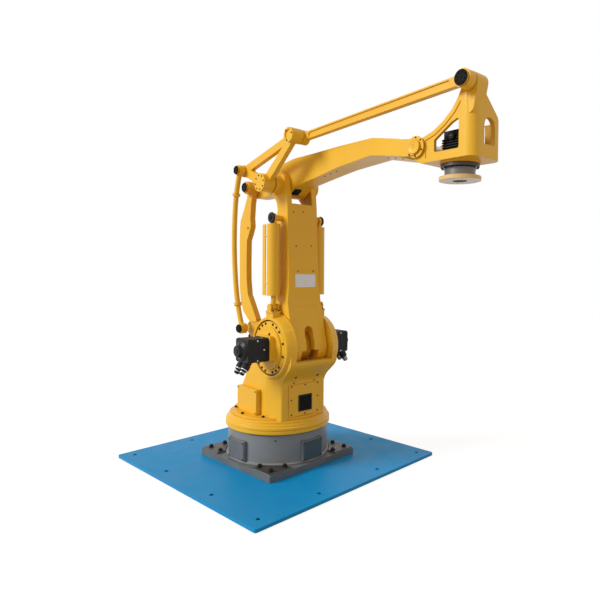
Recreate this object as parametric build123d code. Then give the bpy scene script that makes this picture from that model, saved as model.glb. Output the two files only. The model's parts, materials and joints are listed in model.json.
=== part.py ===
from build123d import *
import os
from math import atan2, cos, degrees, hypot, radians, sin

os.makedirs("parts", exist_ok=True)

# A palletising robot arm: parallel links, two balancers and one tool flange.
# Every length is in millimetres and every angle in degrees.
# The frame stands on the underside of the floor plate, Z up, on the slewing axis.
# The arm is built facing +X and then turned about Z by the slew angle of its rest pose.

# Slew angle of the arm and the running clearances
SLEW = -4.8
RUN = 6.0
PIN_FIT = 0.1
LOOP_FIT = 0.4

# Floor plate
PLATE_X = 1756.0
PLATE_Y = 1790.0
PLATE_T = 22.0
PLATE_CORNER = 16.0
PLATE_HOLE_R = 15.0
HOLE_X_OUT = 784.0
HOLE_X_IN = 294.0
HOLE_Y_OUT = 800.0
HOLE_Y_IN = 298.0

# Pedestal
FOOT = 856.0
FOOT_T = 44.0
PAD = 196.0
PAD_T = 12.0
PAD_EDGE = 8.0
DRUM_R = 390.0
DRUM_H = 218.0
DRUM_FOOT_R = 402.0
DRUM_FOOT_H = 10.0
SPIGOT_R = 300.0
SPIGOT_T = 26.0
BOX_W = 196.0
BOX_H = 148.0
BOX_REACH = 406.0
LID_T = 6.0

# Slewing ring
RING_R = 408.0
RING_H = 56.0
RING_STEP_R = 384.0
RING_STEP_H = 38.0
RING_GROOVE = 5.0
FLANGE_R = 356.0
FLANGE_T = 18.0

# Swivel casting
BODY_HALF = 245.0
BODY_FRONT = 330.0
BODY_FRONT_HALF = 200.0
BODY_REAR = -262.0
BODY_REAR_HALF = 185.0
BODY_SHOULDER_Z = 552.0
BODY_TAPER = 150.0
REAR_TAPER = 96.0
BODY_H = 246.0
CHEEK_IN = 166.0
CHEEK_OUT = 244.0
CHEEK_R = 252.0
CHEEK_FACE_R = 222.0
WALL_OUT = 232.0
WALL_REAR = -104.0
RECESS_R = 206.0
RECESS_Y = 225.0
SADDLE_REACH = 241.0
SADDLE_DROP = 91.0
SADDLE_REAR = -30.0
LIP_HALF = 215.0
LIP_RISE = 48.0
SEAT_RISE = 259.0
SEAT_W = 64.0
COVER_W = 268.0
COVER_H = 188.0
COVER_OUT = 286.0
PANEL_W = 286.0
PANEL_H = 238.0
PANEL_T = 8.0

# Shoulder drives
REDUCER_R = 196.0
REDUCER_T = 14.0
COVER_R = 160.0
COVER_T = 15.0
NOSE_HALF = 95.0
MOTOR_HALF = 84.0
MOTOR_GAP = 42.0
MOTOR_L = 174.0
BELL_R = 46.0
BELL_L = 46.0

# Shoulder axis, shared by the lower arm and the crank
SHOULDER = (217.0, 917.0)

# Offsets of the parallel linkage, as vectors in the arm's own plane
LOWER_REACH = (-51.0, 1218.0)
UPPER_REACH = (1362.0, 64.0)
LEVEL_ARM = (-284.0, 123.0)
TIE_ARM = (352.0, 288.0)
TAIL_ARM = (-441.0, 25.0)
TOOL_AHEAD = 200.0
TOOL_DROP = 198.0

# Lower arm
LOWER_HALF = 158.0
LOWER_TOP_HALF = 139.0
LOWER_WALL = 27.0
HUB_R = 190.0
HUB_WALL = 52.0
APRON_R = 148.0
HUB_TOP = 300.0
EYE_R = 100.0
LOWER_WIDE_Z = 1200.0
LOWER_NARROW_Z = 1470.0
FORK_GAP = 96.0
FORK_DEPTH = 152.0
FORK_BOSS = 198.0
FORK_BOSS_R = 72.0
SLOT_HALF = 38.0
SLOT_LOW_HALF = 78.0
SLOT_TOP = 158.0
SLOT_STEP = -20.0

# Upper arm
UPPER_HUB_HALF = 90.0
UPPER_HUB_R = 94.0
UPPER_HALF = 78.0
UPPER_BEND_HALF = 100.0
UPPER_WRIST_HALF = 162.0
WRIST_IN = 146.0
WRIST_R = 62.0
WRIST_CAP_R = 34.0
WRIST_CAP_T = 8.0
BEND_BACK = 390.0

# Links
LINK_IN = -56.0
LINK_OUT = -104.0
LINK_TOP_OUT = -146.0
LINK_EYE_R = 52.0
LINK_PIT = 12.0
CRANK_R = 118.0
CRANK_HALF = 68.0
CRANK_BAR_OUT = 20.0
TAIL_IN = 70.0
TRIANGLE_IN = -206.0
TRIANGLE_OUT = -304.0
TRIANGLE_HUB_R = 68.0
TRIANGLE_BAR_R = 27.0
GROOVE = 7.0
LEVEL_IN = -270.0
LEVEL_OUT = -318.0
LEVEL_BOW = 104.0
LEVEL_EYE_R = 40.0
LEVEL_ROD_R = 20.0
LEVEL_COLLAR_R = 30.0
TIE_IN = -146.0
TIE_OUT = -200.0
TIE_HALF = 27.0
TIE_EYE_R = 50.0
BOSS_R = 46.0
TOP_BOSS_R = 52.0
ELBOW_PIN_R = 40.0
WRIST_PIN_R = 34.0
TRUNNION_R = 80.0
CRANK_SHAFT_R = 54.0
CRANK_PIN_R = 21.0
TAIL_PIN_R = 22.0
LEVEL_PIN_R = 19.0
TIE_PIN_R = 23.0
BALANCER_PIN_R = 14.0
CLEVIS_PIN_R = 11.0
TOOL_SHAFT_R = 60.0
HEAD_T = 8.0

# Wrist head and tool flange
HEAD_HALF = 138.0
HEAD_WALL = 26.0
HEAD_FRONT = 382.0
HEAD_BASE = -96.0
HEAD_CORNER = 60.0
HEAD_RIM = 24.0
HEAD_POCKET = 5.0
HEAD_EYE_R = 52.0
HEAD_EYE_IN = -42.0
COLLAR_R = 112.0
COLLAR_T = 10.0
REDUCER_DARK_R = 108.0
REDUCER_DARK_T = 20.0
BARREL_R = 86.0
DISC_R = 117.0
DISC_T = 22.0
TOOL_PCD = 160.0
TOOL_HOLES = 8
TOOL_HOLE_R = 5.5
TOOL_HOLE_DEPTH = 18.0
TOOL_BORE_R = 40.0
TOOL_BORE_DEPTH = 10.0

# Balancers
BALANCER_Y = 212.0
BALANCER_R = 50.0
BALANCER_WALL = 5.0
ROD_R = 18.0
BALANCER_TOP = (45.0, 960.0)
BALANCER_FOOT = (8.0, 300.0)
TUBE_DROP = 46.0
TUBE_LENGTH = 530.0
GUARD_W = 38.0
GUARD_T = 6.0
GUARD_GAP = 23.0
GUARD_OUT = 20.0
EYE_HALF = 10.0
KNOB_R = 38.0
KNOB_T = 14.0


def shift(point, step):
    """Return a point of the arm's plane moved by a vector."""
    return (point[0] + step[0], point[1] + step[1])


FOOT_TOP = PLATE_T + FOOT_T
JOINT_Z = FOOT_TOP + DRUM_H
RING_STEP_Z = JOINT_Z + RUN + RING_H
RING_TOP_Z = RING_STEP_Z + RING_STEP_H
BODY_TOP = RING_TOP_Z + FLANGE_T + BODY_H
LIP_X = SHOULDER[0] + SADDLE_REACH
LIP_Z = SHOULDER[1] - SADDLE_DROP
SEAT_Z = SHOULDER[1] + SEAT_RISE
ELBOW = shift(SHOULDER, LOWER_REACH)
WRIST = shift(ELBOW, UPPER_REACH)
LEVEL_LOW = shift(SHOULDER, LEVEL_ARM)
LEVEL_HIGH = shift(ELBOW, LEVEL_ARM)
TIE_REAR = shift(ELBOW, TIE_ARM)
TIE_FRONT = shift(WRIST, TIE_ARM)
CRANK_END = shift(SHOULDER, TAIL_ARM)
TAIL = shift(ELBOW, TAIL_ARM)
LOWER_L = hypot(*LOWER_REACH)
UPPER_L = hypot(*UPPER_REACH)
UP = atan2(LOWER_REACH[1], LOWER_REACH[0])
OUT = atan2(UPPER_REACH[1], UPPER_REACH[0])
TOOL_X = WRIST[0] + TOOL_AHEAD
TOOL_Z = WRIST[1] - TOOL_DROP


def up_lower(distance, behind=0.0):
    """Return a point beside the line from shoulder to elbow, measured from the shoulder."""
    x = SHOULDER[0] + distance * cos(UP) - behind * sin(UP)
    z = SHOULDER[1] + distance * sin(UP) + behind * cos(UP)
    return (x, z)


def down_lower(distance, behind=0.0):
    """Return a point beside the line from shoulder to elbow, measured down from the elbow."""
    return up_lower(LOWER_L - distance, behind)


def out_upper(distance, above=0.0):
    """Return a point beside the line from elbow to wrist, measured from the elbow."""
    x = ELBOW[0] + distance * cos(OUT) - above * sin(OUT)
    z = ELBOW[1] + distance * sin(OUT) + above * cos(OUT)
    return (x, z)


def back_upper(distance, above=0.0):
    """Return a point beside the line from elbow to wrist, measured back from the wrist."""
    return out_upper(UPPER_L - distance, above)


BALANCER_HEAD = up_lower(BALANCER_TOP[1], -BALANCER_TOP[0])
BALANCER_BASE = shift(SHOULDER, BALANCER_FOOT)


def drum(point, radius, y_from, y_to):
    """Return a cylinder across the arm, between two sideways positions."""
    middle = (y_from + y_to) / 2
    return Pos(point[0], middle, point[1]) * Rot(90, 0, 0) * Cylinder(radius, abs(y_to - y_from))


def slab(sketch, y_from, y_to):
    """Return a sketch of the arm's plane given thickness from one side to the other."""
    low = min(y_from, y_to)
    high = max(y_from, y_to)
    return extrude(Plane.XZ.offset(-high) * sketch, high - low)


def outline(points, radius=0.0):
    """Return a closed outline with rounded corners."""
    face = make_face(Polyline(*points, close=True))
    if radius > 0:
        face = fillet(face.vertices(), radius)
    return Sketch() + face


def bar(first, last, first_r, last_r):
    """Return the outline of a bar with round ends."""
    ring_a = Pos(first[0], first[1]) * Circle(first_r)
    ring_b = Pos(last[0], last[1]) * Circle(last_r)
    return Sketch() + make_hull(ring_a.edges() + ring_b.edges())


def disc(point, radius):
    """Return a round outline about a point of the arm's plane."""
    return Sketch() + Pos(point[0], point[1]) * Circle(radius)


def mirrored(shape):
    """Return the shape on the other side of the arm's middle plane."""
    return mirror(shape, Plane.XZ)


def on_side(shape, side):
    """Return a right-hand shape as it is, or mirrored to the left."""
    return shape if side < 0 else mirrored(shape)


def build_floor_plate():
    plate = extrude(RectangleRounded(PLATE_X, PLATE_Y, PLATE_CORNER), PLATE_T)
    spots = [(x, y) for x in (-HOLE_X_OUT, HOLE_X_OUT) for y in (-HOLE_Y_OUT, HOLE_Y_OUT)]
    spots += [(x, y) for x in (-HOLE_X_IN, HOLE_X_IN) for y in (-HOLE_Y_OUT, HOLE_Y_OUT)]
    spots += [(x, y) for x in (-HOLE_X_OUT, HOLE_X_OUT) for y in (-HOLE_Y_IN, HOLE_Y_IN)]
    holes = [Pos(x, y, PLATE_T / 2) * Cylinder(PLATE_HOLE_R, PLATE_T * 2) for x, y in spots]
    return plate - holes


def build_base_plate():
    plate = Pos(0, 0, PLATE_T) * extrude(RectangleRounded(FOOT, FOOT, PAD_EDGE), FOOT_T)
    reach = FOOT / 2 - PAD / 2 - PAD_EDGE
    pads = Part()
    for x in (-reach, reach):
        for y in (-reach, reach):
            pads += Pos(x, y, FOOT_TOP) * extrude(RectangleRounded(PAD, PAD, PAD_EDGE), PAD_T)
    return plate + (pads - Pos(0, 0, FOOT_TOP) * extrude(Circle(DRUM_FOOT_R + RUN), PAD_T))


def build_pedestal():
    foot_z = FOOT_TOP + DRUM_FOOT_H
    section = make_face(Polyline(
        (0, FOOT_TOP), (DRUM_FOOT_R, FOOT_TOP), (DRUM_FOOT_R, foot_z), (DRUM_R, foot_z + RUN),
        (DRUM_R, JOINT_Z), (SPIGOT_R, JOINT_Z), (SPIGOT_R, JOINT_Z + SPIGOT_T), (0, JOINT_Z + SPIGOT_T),
        close=True,
    ))
    return revolve(Plane.XZ * section, Axis.Z)


def build_junction_box(turn):
    depth = BOX_REACH - LID_T - DRUM_R + BOX_W / 4
    middle = FOOT_TOP + DRUM_FOOT_H + RUN + BOX_H / 2
    box = Pos(BOX_REACH - LID_T - depth / 2, 0, middle) * Box(depth, BOX_W, BOX_H)
    lid = Pos(BOX_REACH - LID_T / 2, 0, middle) * Box(LID_T, BOX_W - 2 * LID_T, BOX_H - 2 * LID_T)
    return Rot(0, 0, turn) * (box + lid - build_pedestal())


def build_slew_ring():
    foot_z = JOINT_Z + RUN
    step_r = (RING_R + RING_STEP_R) / 2
    groove_z = foot_z + RING_H / 2
    section = make_face(Polyline(
        (0, JOINT_Z + SPIGOT_T + RUN), (SPIGOT_R + PIN_FIT, JOINT_Z + SPIGOT_T + RUN),
        (SPIGOT_R + PIN_FIT, foot_z), (RING_R - RUN, foot_z), (RING_R, foot_z + RUN),
        (RING_R, groove_z), (RING_R - RING_GROOVE, groove_z), (RING_R - RING_GROOVE, groove_z + RING_GROOVE),
        (RING_R, groove_z + RING_GROOVE), (RING_R, RING_STEP_Z - RUN), (step_r, RING_STEP_Z),
        (step_r, RING_STEP_Z + 2 * RUN), (RING_STEP_R, RING_STEP_Z + 3 * RUN),
        (RING_STEP_R, RING_TOP_Z - RUN), (RING_STEP_R - RUN, RING_TOP_Z), (0, RING_TOP_Z), close=True,
    ))
    return revolve(Plane.XZ * section, Axis.Z)


def body_plan():
    """Return the plan of the swivel casting, with its tapered corners."""
    points = [
        (BODY_REAR, -BODY_REAR_HALF), (BODY_REAR + REAR_TAPER, -BODY_HALF), (BODY_FRONT - BODY_TAPER, -BODY_HALF),
        (BODY_FRONT, -BODY_FRONT_HALF),
    ]
    return outline(points + [(x, -y) for x, y in reversed(points)], 3 * RUN)


def flare():
    """Return the part of the casting that swells forward from the body to the lip of the saddle."""
    sections = []
    for step in (0.0, 0.25, 0.5, 0.75, 1.0):
        swell = step * step * (3 - 2 * step)
        front = BODY_FRONT + (LIP_X - BODY_FRONT) * swell
        half = BODY_FRONT_HALF + (LIP_HALF - BODY_FRONT_HALF) * swell
        side = BODY_HALF + (WALL_OUT - BODY_HALF) * swell
        rear = WALL_REAR + (LIP_Z - BODY_TOP) * step / 2
        points = [(rear, -side), (front - BODY_TAPER, -side), (front, -half)]
        plan = outline(points + [(x, -y) for x, y in reversed(points)])
        sections.append(Plane.XY.offset(BODY_TOP + (LIP_Z - BODY_TOP) * step) * plan)
    return loft(sections)


def side_band(shape, inner, outer, side=-1):
    """Return what a shape has between two distances from the arm's middle plane, on one side."""
    reach = 4 * HEAD_FRONT
    middle = side * (inner + outer) / 2
    return shape & (Pos(0, middle, 0) * Box(2 * reach, outer - inner, 4 * reach))


def turned(point, section):
    """Return a turned part about an axis across the arm, from radius and distance to the right."""
    face = make_face(Polyline(*section, close=True))
    return Pos(point[0], 0, point[1]) * Rot(90, 0, 0) * revolve(Plane.XZ * face, Axis.Z)


def build_cheek(side):
    housing = turned(SHOULDER, [
        (0, CHEEK_IN), (CHEEK_R, CHEEK_IN), (CHEEK_R - RUN, CHEEK_IN + 2 * RUN),
        (CHEEK_FACE_R + RUN, CHEEK_OUT - RUN), (CHEEK_FACE_R, CHEEK_OUT), (RECESS_R, CHEEK_OUT),
        (RECESS_R, RECESS_Y), (0, RECESS_Y),
    ])
    wall = side_band(flare(), CHEEK_IN, BODY_HALF)
    lip = Pos(LIP_X - CHEEK_R / 2, -(CHEEK_IN + LIP_HALF) / 2, LIP_Z + (LIP_RISE - RUN) / 2) * Box(
        CHEEK_R, LIP_HALF - CHEEK_IN, LIP_RISE + RUN)
    heel = slab(outline([
        (WALL_REAR, BODY_TOP), (SHOULDER[0] - CHEEK_R + 2 * RUN, LIP_Z - LIP_RISE), (SHOULDER[0] - CHEEK_R, SHOULDER[1]),
        (SHOULDER[0], SHOULDER[1]), (SHOULDER[0], BODY_TOP),
    ]), -WALL_OUT, -CHEEK_IN)
    seat = Pos(BALANCER_BASE[0], -CHEEK_OUT + SEAT_W / 2, SEAT_Z - SEAT_RISE / 4) * Box(
        5 * ROD_R, SEAT_W, SEAT_RISE / 2)
    recess = drum(SHOULDER, RECESS_R, -RECESS_Y, -BODY_HALF - 1)
    body = housing + (wall + lip + heel + seat - recess)
    if side > 0:
        return mirrored(body - drum(SHOULDER, CRANK_SHAFT_R + PIN_FIT, -CHEEK_IN + 1, -RECESS_Y - 1))
    body += slab(bar(SHOULDER, LEVEL_LOW, CHEEK_R / 2, BOSS_R), -WALL_OUT + RUN, -CHEEK_IN) - recess
    body += drum(LEVEL_LOW, BOSS_R, LEVEL_IN + RUN, -CHEEK_IN)
    return body - drum(SHOULDER, TRUNNION_R + PIN_FIT, -CHEEK_IN + 1, -RECESS_Y - 1)


def build_swivel():
    body = Pos(0, 0, RING_TOP_Z) * extrude(body_plan(), FLANGE_T + BODY_H)
    body -= slab(outline([
        (2 * BODY_REAR, BODY_SHOULDER_Z), (BODY_REAR + REAR_TAPER, BODY_SHOULDER_Z), (WALL_REAR, BODY_TOP),
        (WALL_REAR, BODY_TOP + RUN), (2 * BODY_REAR, BODY_TOP + RUN),
    ]), -BODY_HALF - 1, BODY_HALF + 1)
    body += Pos(0, 0, RING_TOP_Z + FLANGE_T / 2) * Cylinder(FLANGE_R, FLANGE_T)
    body += flare() & slab(outline([
        (WALL_REAR, BODY_TOP - RUN), (2 * BODY_FRONT, BODY_TOP - RUN), (2 * BODY_FRONT, SHOULDER[1]),
        (SHOULDER[0], SHOULDER[1]), (SADDLE_REAR, BODY_TOP + RUN),
    ]), -CHEEK_IN, CHEEK_IN)
    return body - drum(SHOULDER, HUB_R + 2 * RUN, -CHEEK_IN - 1, CHEEK_IN + 1)


def build_side_cover():
    middle = (BODY_FRONT + BODY_REAR) / 2 - 8 * RUN
    depth = COVER_OUT - BODY_HALF
    base = RING_TOP_Z + FLANGE_T
    cover = Pos(middle, -BODY_HALF - depth / 2, base + COVER_H / 2) * Box(COVER_W, depth, COVER_H)
    return fillet(cover.edges().filter_by(Axis.Y), RUN)


def build_front_panel():
    base = RING_TOP_Z + FLANGE_T
    return Pos(BODY_FRONT + PANEL_T / 2, 0, base + PANEL_H / 2) * Box(PANEL_T, PANEL_W, PANEL_H)


def build_reducer(side):
    face = RECESS_Y + REDUCER_T
    cover = face + COVER_T
    body = turned(SHOULDER, [
        (0, RECESS_Y), (REDUCER_R, RECESS_Y), (REDUCER_R, face), (COVER_R + RUN / 2, face), (COVER_R, cover), (0, cover),
    ])
    nose = Box(2 * NOSE_HALF, MOTOR_GAP, 2 * NOSE_HALF)
    nose = chamfer(nose.edges().filter_by(Axis.Y), 2 * RUN)
    return on_side(body + Pos(SHOULDER[0], -cover - MOTOR_GAP / 2, SHOULDER[1]) * nose, side)


def build_motor(side):
    start = RECESS_Y + REDUCER_T + COVER_T + MOTOR_GAP
    core = Box(2 * MOTOR_HALF, MOTOR_L, 2 * MOTOR_HALF)
    core = chamfer(core.edges().filter_by(Axis.Y), 2 * RUN)
    body = Pos(SHOULDER[0], -start - MOTOR_L / 2, SHOULDER[1]) * core
    end = start + MOTOR_L
    body += turned(SHOULDER, [
        (0, end - 1), (MOTOR_HALF - 2 * RUN, end - 1), (MOTOR_HALF - 2 * RUN, end + RUN), (BELL_R, end + BELL_L / 2),
        (BELL_R - RUN, end + BELL_L), (0, end + BELL_L),
    ])
    return on_side(body, side)


def build_clevis(side):
    height = BALANCER_BASE[1] - SEAT_Z
    base_t = 2 * RUN
    gap = ROD_R + RUN
    ear_t = 2.5 * RUN
    body = Part() + Pos(BALANCER_BASE[0], -BALANCER_Y, SEAT_Z + base_t / 2) * Box(
        5 * ROD_R, 2 * (gap + ear_t), base_t)
    for y in (-BALANCER_Y - gap - ear_t / 2, -BALANCER_Y + gap + ear_t / 2):
        body += drum(BALANCER_BASE, 1.4 * ROD_R, y - ear_t / 2, y + ear_t / 2)
        body += Pos(BALANCER_BASE[0], y, SEAT_Z + height / 2) * Box(2.6 * ROD_R, ear_t, height)
    body += drum(BALANCER_BASE, CLEVIS_PIN_R, -BALANCER_Y - gap - ear_t - 1, -BALANCER_Y + gap + ear_t + 1)
    return on_side(body, side)


def balancer_tilt():
    """Return the lean of the balancer's line from upright."""
    reach = (BALANCER_HEAD[0] - BALANCER_BASE[0], BALANCER_HEAD[1] - BALANCER_BASE[1])
    return degrees(atan2(reach[0], reach[1]))


def build_balancer_rod(side):
    span = hypot(BALANCER_HEAD[0] - BALANCER_BASE[0], BALANCER_HEAD[1] - BALANCER_BASE[1])
    length = span - TUBE_DROP - TUBE_LENGTH / 2
    rod = Pos(0, 0, length / 2) * Cylinder(ROD_R, length - ROD_R)
    eye = Rot(90, 0, 0) * Cylinder(1.2 * ROD_R, 2 * ROD_R)
    body = (rod + eye) - Rot(90, 0, 0) * Cylinder(CLEVIS_PIN_R + PIN_FIT, 4 * ROD_R)
    placed = Pos(BALANCER_BASE[0], -BALANCER_Y, BALANCER_BASE[1]) * Rot(0, balancer_tilt(), 0) * body
    return on_side(placed, side)


def build_balancer_tube(side):
    bore = TUBE_LENGTH - 2 * BALANCER_WALL
    middle = -TUBE_DROP - TUBE_LENGTH / 2
    tube = Pos(0, 0, middle) * Cylinder(BALANCER_R, TUBE_LENGTH)
    tube -= Pos(0, 0, -TUBE_DROP - TUBE_LENGTH + bore / 2) * Cylinder(BALANCER_R - BALANCER_WALL, bore)
    guard_x = -BALANCER_R - GUARD_GAP - GUARD_W / 2
    tube += Pos(guard_x, -GUARD_OUT, middle) * Box(GUARD_W, GUARD_T, TUBE_LENGTH)
    for z in (middle - TUBE_LENGTH / 3, middle + TUBE_LENGTH / 3):
        stay = GUARD_GAP + GUARD_W / 2 + 2 * RUN
        tube += Pos(guard_x + stay / 2, -GUARD_OUT, z) * Rot(0, 90, 0) * Cylinder(GUARD_T, stay)
    tube += Pos(0, 0, -TUBE_DROP / 2 - RUN) * Box(BALANCER_R, 2 * EYE_HALF, TUBE_DROP)
    tube += Rot(90, 0, 0) * Cylinder(BALANCER_R / 1.5, 2 * EYE_HALF)
    tube -= Rot(90, 0, 0) * Cylinder(BALANCER_PIN_R + PIN_FIT, 4 * EYE_HALF)
    placed = Pos(BALANCER_HEAD[0], -BALANCER_Y, BALANCER_HEAD[1]) * Rot(0, balancer_tilt(), 0) * tube
    return on_side(placed, side)


def build_balancer_pin(side):
    start = -BALANCER_Y - EYE_HALF - RUN / 2
    pin = drum(BALANCER_HEAD, BALANCER_PIN_R, -LOWER_TOP_HALF, start)
    knob = drum(BALANCER_HEAD, KNOB_R, start, start - KNOB_T)
    collar = drum(BALANCER_HEAD, 1.5 * BALANCER_PIN_R, -LOWER_TOP_HALF, -BALANCER_Y + EYE_HALF + RUN / 2)
    return on_side(pin + knob + collar, side)


def lower_side():
    """Return the side outline of the lower arm, from hub to fork."""
    return outline([
        up_lower(0, HUB_R - 4), up_lower(200, 120), up_lower(HUB_TOP, 100), up_lower(430, 84),
        down_lower(518, 70), down_lower(188, 8), down_lower(128, 18), down_lower(68, 72),
        down_lower(0, 98), down_lower(-62, 60), down_lower(-92, 0), down_lower(-72, -62),
        down_lower(0, -98), down_lower(78, -112), down_lower(178, -118), up_lower(330, -126),
        up_lower(150, -165), up_lower(0, -HUB_R + 4),
    ])


def lower_front():
    """Return the prism that narrows the lower arm from its hubs to its fork, seen from the front."""
    top = ELBOW[1] + 2 * HUB_R
    low = SHOULDER[1] - 2 * HUB_R
    knee = (LOWER_HALF - (LOWER_HALF - LOWER_TOP_HALF) * 0.62, (LOWER_WIDE_Z + LOWER_NARROW_Z) / 2)
    right = Spline((LOWER_HALF, LOWER_WIDE_Z), knee, (LOWER_TOP_HALF, LOWER_NARROW_Z),
                   tangents=((0, 1), (0, 1)))
    left = mirror(right, Plane.YZ)
    ends = Polyline((LOWER_TOP_HALF, LOWER_NARROW_Z), (LOWER_TOP_HALF, top), (-LOWER_TOP_HALF, top),
                    (-LOWER_TOP_HALF, LOWER_NARROW_Z))
    foot = Polyline((-LOWER_HALF, LOWER_WIDE_Z), (-LOWER_HALF, low), (LOWER_HALF, low), (LOWER_HALF, LOWER_WIDE_Z))
    face = Sketch() + make_face([right, ends, left, foot])
    return extrude(Plane.YZ.offset(-2 * HUB_R) * face, 6 * HUB_R)


def above_hubs():
    """Return the side outline of everything above the line where the hubs end."""
    return outline([
        up_lower(HUB_TOP, 2 * HUB_R), up_lower(LOWER_L + 2 * HUB_R, 2 * HUB_R),
        up_lower(LOWER_L + 2 * HUB_R, -2 * HUB_R), up_lower(HUB_TOP, -2 * HUB_R),
    ])


def fork_arms():
    """Return both arms of the fork, each a plate with its boss."""
    plates = slab(lower_side(), -LOWER_TOP_HALF, LOWER_TOP_HALF)
    plates += drum(ELBOW, EYE_R, -LOWER_TOP_HALF, LOWER_TOP_HALF)
    plates += drum(ELBOW, FORK_BOSS_R, -FORK_BOSS, FORK_BOSS)
    plates &= slab(outline([
        down_lower(FORK_DEPTH + LOWER_WALL, 2 * EYE_R), down_lower(-2 * EYE_R, 2 * EYE_R),
        down_lower(-2 * EYE_R, -2 * EYE_R), down_lower(FORK_DEPTH + LOWER_WALL, -2 * EYE_R),
    ]), -FORK_BOSS, FORK_BOSS)
    plates -= drum(ELBOW, ELBOW_PIN_R + PIN_FIT, -FORK_BOSS - 1, FORK_BOSS + 1)
    return plates - slab(disc(ELBOW, 4 * EYE_R), -FORK_GAP, FORK_GAP)


def build_fork_arm(side):
    return side_band(fork_arms(), FORK_GAP, FORK_BOSS, side)


def build_lower_arm():
    whole = slab(lower_side(), -LOWER_HALF, LOWER_HALF) & slab(above_hubs(), -LOWER_HALF, LOWER_HALF)
    whole &= lower_front()
    whole -= fork_arms()
    whole -= slab(outline([
        down_lower(FORK_DEPTH, -EYE_R - 30), down_lower(FORK_DEPTH - 14, 12), down_lower(FORK_DEPTH - 14, 2 * EYE_R),
        down_lower(-2 * EYE_R, 2 * EYE_R), down_lower(-2 * EYE_R, -2 * EYE_R), down_lower(FORK_DEPTH, -2 * EYE_R),
    ]), -LOWER_HALF, LOWER_HALF)
    inner = LOWER_TOP_HALF - LOWER_WALL
    whole -= slab(outline([
        up_lower(HUB_TOP - 1, -90), up_lower(500, -90), up_lower(540, HUB_R), up_lower(HUB_TOP - 1, HUB_R),
    ]), -inner, inner)
    whole -= slab(outline([
        up_lower(580, -90), up_lower(580, HUB_R), down_lower(210, HUB_R), down_lower(210, -90),
    ], RUN), -inner, inner)
    return whole


def build_lower_hub(side):
    plate = slab(lower_side(), -LOWER_HALF, HUB_WALL - LOWER_HALF)
    plate += drum(SHOULDER, HUB_R, -LOWER_HALF, HUB_WALL - LOWER_HALF)
    plate &= lower_front()
    plate -= slab(above_hubs(), -LOWER_HALF - 1, LOWER_HALF)
    if side < 0:
        return plate + drum(SHOULDER, TRUNNION_R, -LOWER_HALF, -RECESS_Y)
    return mirrored(plate - drum(SHOULDER, CRANK_SHAFT_R + PIN_FIT, 1 - LOWER_HALF - RUN, 0))


def build_apron():
    inner = LOWER_HALF - HUB_WALL
    side = slab(lower_side(), -inner, inner) + drum(SHOULDER, HUB_R, -inner, inner)
    side &= slab(outline([
        up_lower(-HUB_R, -40), up_lower(-40, -90), up_lower(HUB_TOP, -70), up_lower(HUB_TOP, -2 * HUB_R),
        up_lower(-HUB_R, -2 * HUB_R),
    ]), -inner, inner)
    side -= drum(SHOULDER, APRON_R, -inner - 1, inner + 1)
    front = SHOULDER[0] + HUB_R
    slot = Pos(front, 0, SHOULDER[1] + SLOT_TOP - SLOT_HALF) * Rot(0, 90, 0) * Cylinder(SLOT_HALF, HUB_R)
    upper_h = SLOT_TOP - SLOT_HALF - SLOT_STEP
    slot += Pos(front, 0, SHOULDER[1] + SLOT_STEP + upper_h / 2) * Box(HUB_R, 2 * SLOT_HALF, upper_h)
    slot += Pos(front, 0, SHOULDER[1] + SLOT_STEP - HUB_R / 2) * Box(HUB_R, 2 * SLOT_LOW_HALF, HUB_R)
    return side - slot


def build_crank():
    body = drum(SHOULDER, CRANK_R, -CRANK_HALF, CRANK_HALF)
    body += drum(SHOULDER, CRANK_SHAFT_R, CRANK_HALF, RECESS_Y)
    body += slab(bar(SHOULDER, CRANK_END, CRANK_R - 22, LINK_EYE_R + 4), LINK_IN + RUN, CRANK_BAR_OUT)
    return body - drum(CRANK_END, CRANK_PIN_R + PIN_FIT, LINK_IN, CRANK_BAR_OUT + 1)


def build_crank_pin():
    inner = CRANK_BAR_OUT + RUN
    body = drum(CRANK_END, CRANK_PIN_R, LINK_OUT - RUN, inner)
    body += drum(CRANK_END, BOSS_R - 10, inner, inner + HEAD_T)
    return body + drum(CRANK_END, BOSS_R - 10, LINK_OUT - RUN, LINK_OUT - RUN - HEAD_T)


def drive_link_side():
    """Return the side outline of the drive link, bowed to the rear with a boss near its top."""
    low_x, low_z = CRANK_END
    top_x, top_z = TAIL
    edge = LINK_EYE_R - 4
    front = [
        (low_x + edge, low_z), (low_x + edge + 4, low_z + 150), (low_x - 22, low_z + 264), (low_x - 76, low_z + 342),
        (low_x - 96, low_z + 464), (low_x - 100, (low_z + top_z) / 2), (top_x - 46, top_z - 428),
        (top_x - 18, top_z - 380), (top_x + 11, top_z - 317), (top_x + 3, top_z - 244), (top_x + 14, top_z - 124),
        (top_x + edge, top_z),
    ]
    rear = [
        (top_x - edge, top_z), (top_x - edge, top_z - 76), (top_x - 98, top_z - 172), (top_x - 151, top_z - 267),
        (top_x - 160, top_z - 390), (low_x - 208, (low_z + top_z) / 2), (low_x - 204, low_z + 400),
        (low_x - 184, low_z + 290), (low_x - 144, low_z + 200), (low_x - edge - 2, low_z + 125),
        (low_x - edge, low_z),
    ]
    return outline(front + rear, 3 * RUN)


def build_drive_link():
    body = slab(drive_link_side(), LINK_IN, LINK_OUT)
    body += drum(CRANK_END, LINK_EYE_R, LINK_IN, LINK_OUT)
    body += drum(TAIL, LINK_EYE_R, LINK_IN, LINK_TOP_OUT)
    body -= drum(shift(TAIL, (-32, -327)), 2 * RUN, LINK_OUT + LINK_PIT, LINK_OUT - 1)
    body -= drum(CRANK_END, CRANK_PIN_R + PIN_FIT, LINK_IN + 1, LINK_OUT - 1)
    return body - drum(TAIL, TAIL_PIN_R + LOOP_FIT, LINK_IN + 1, LINK_TOP_OUT - 1)


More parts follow.
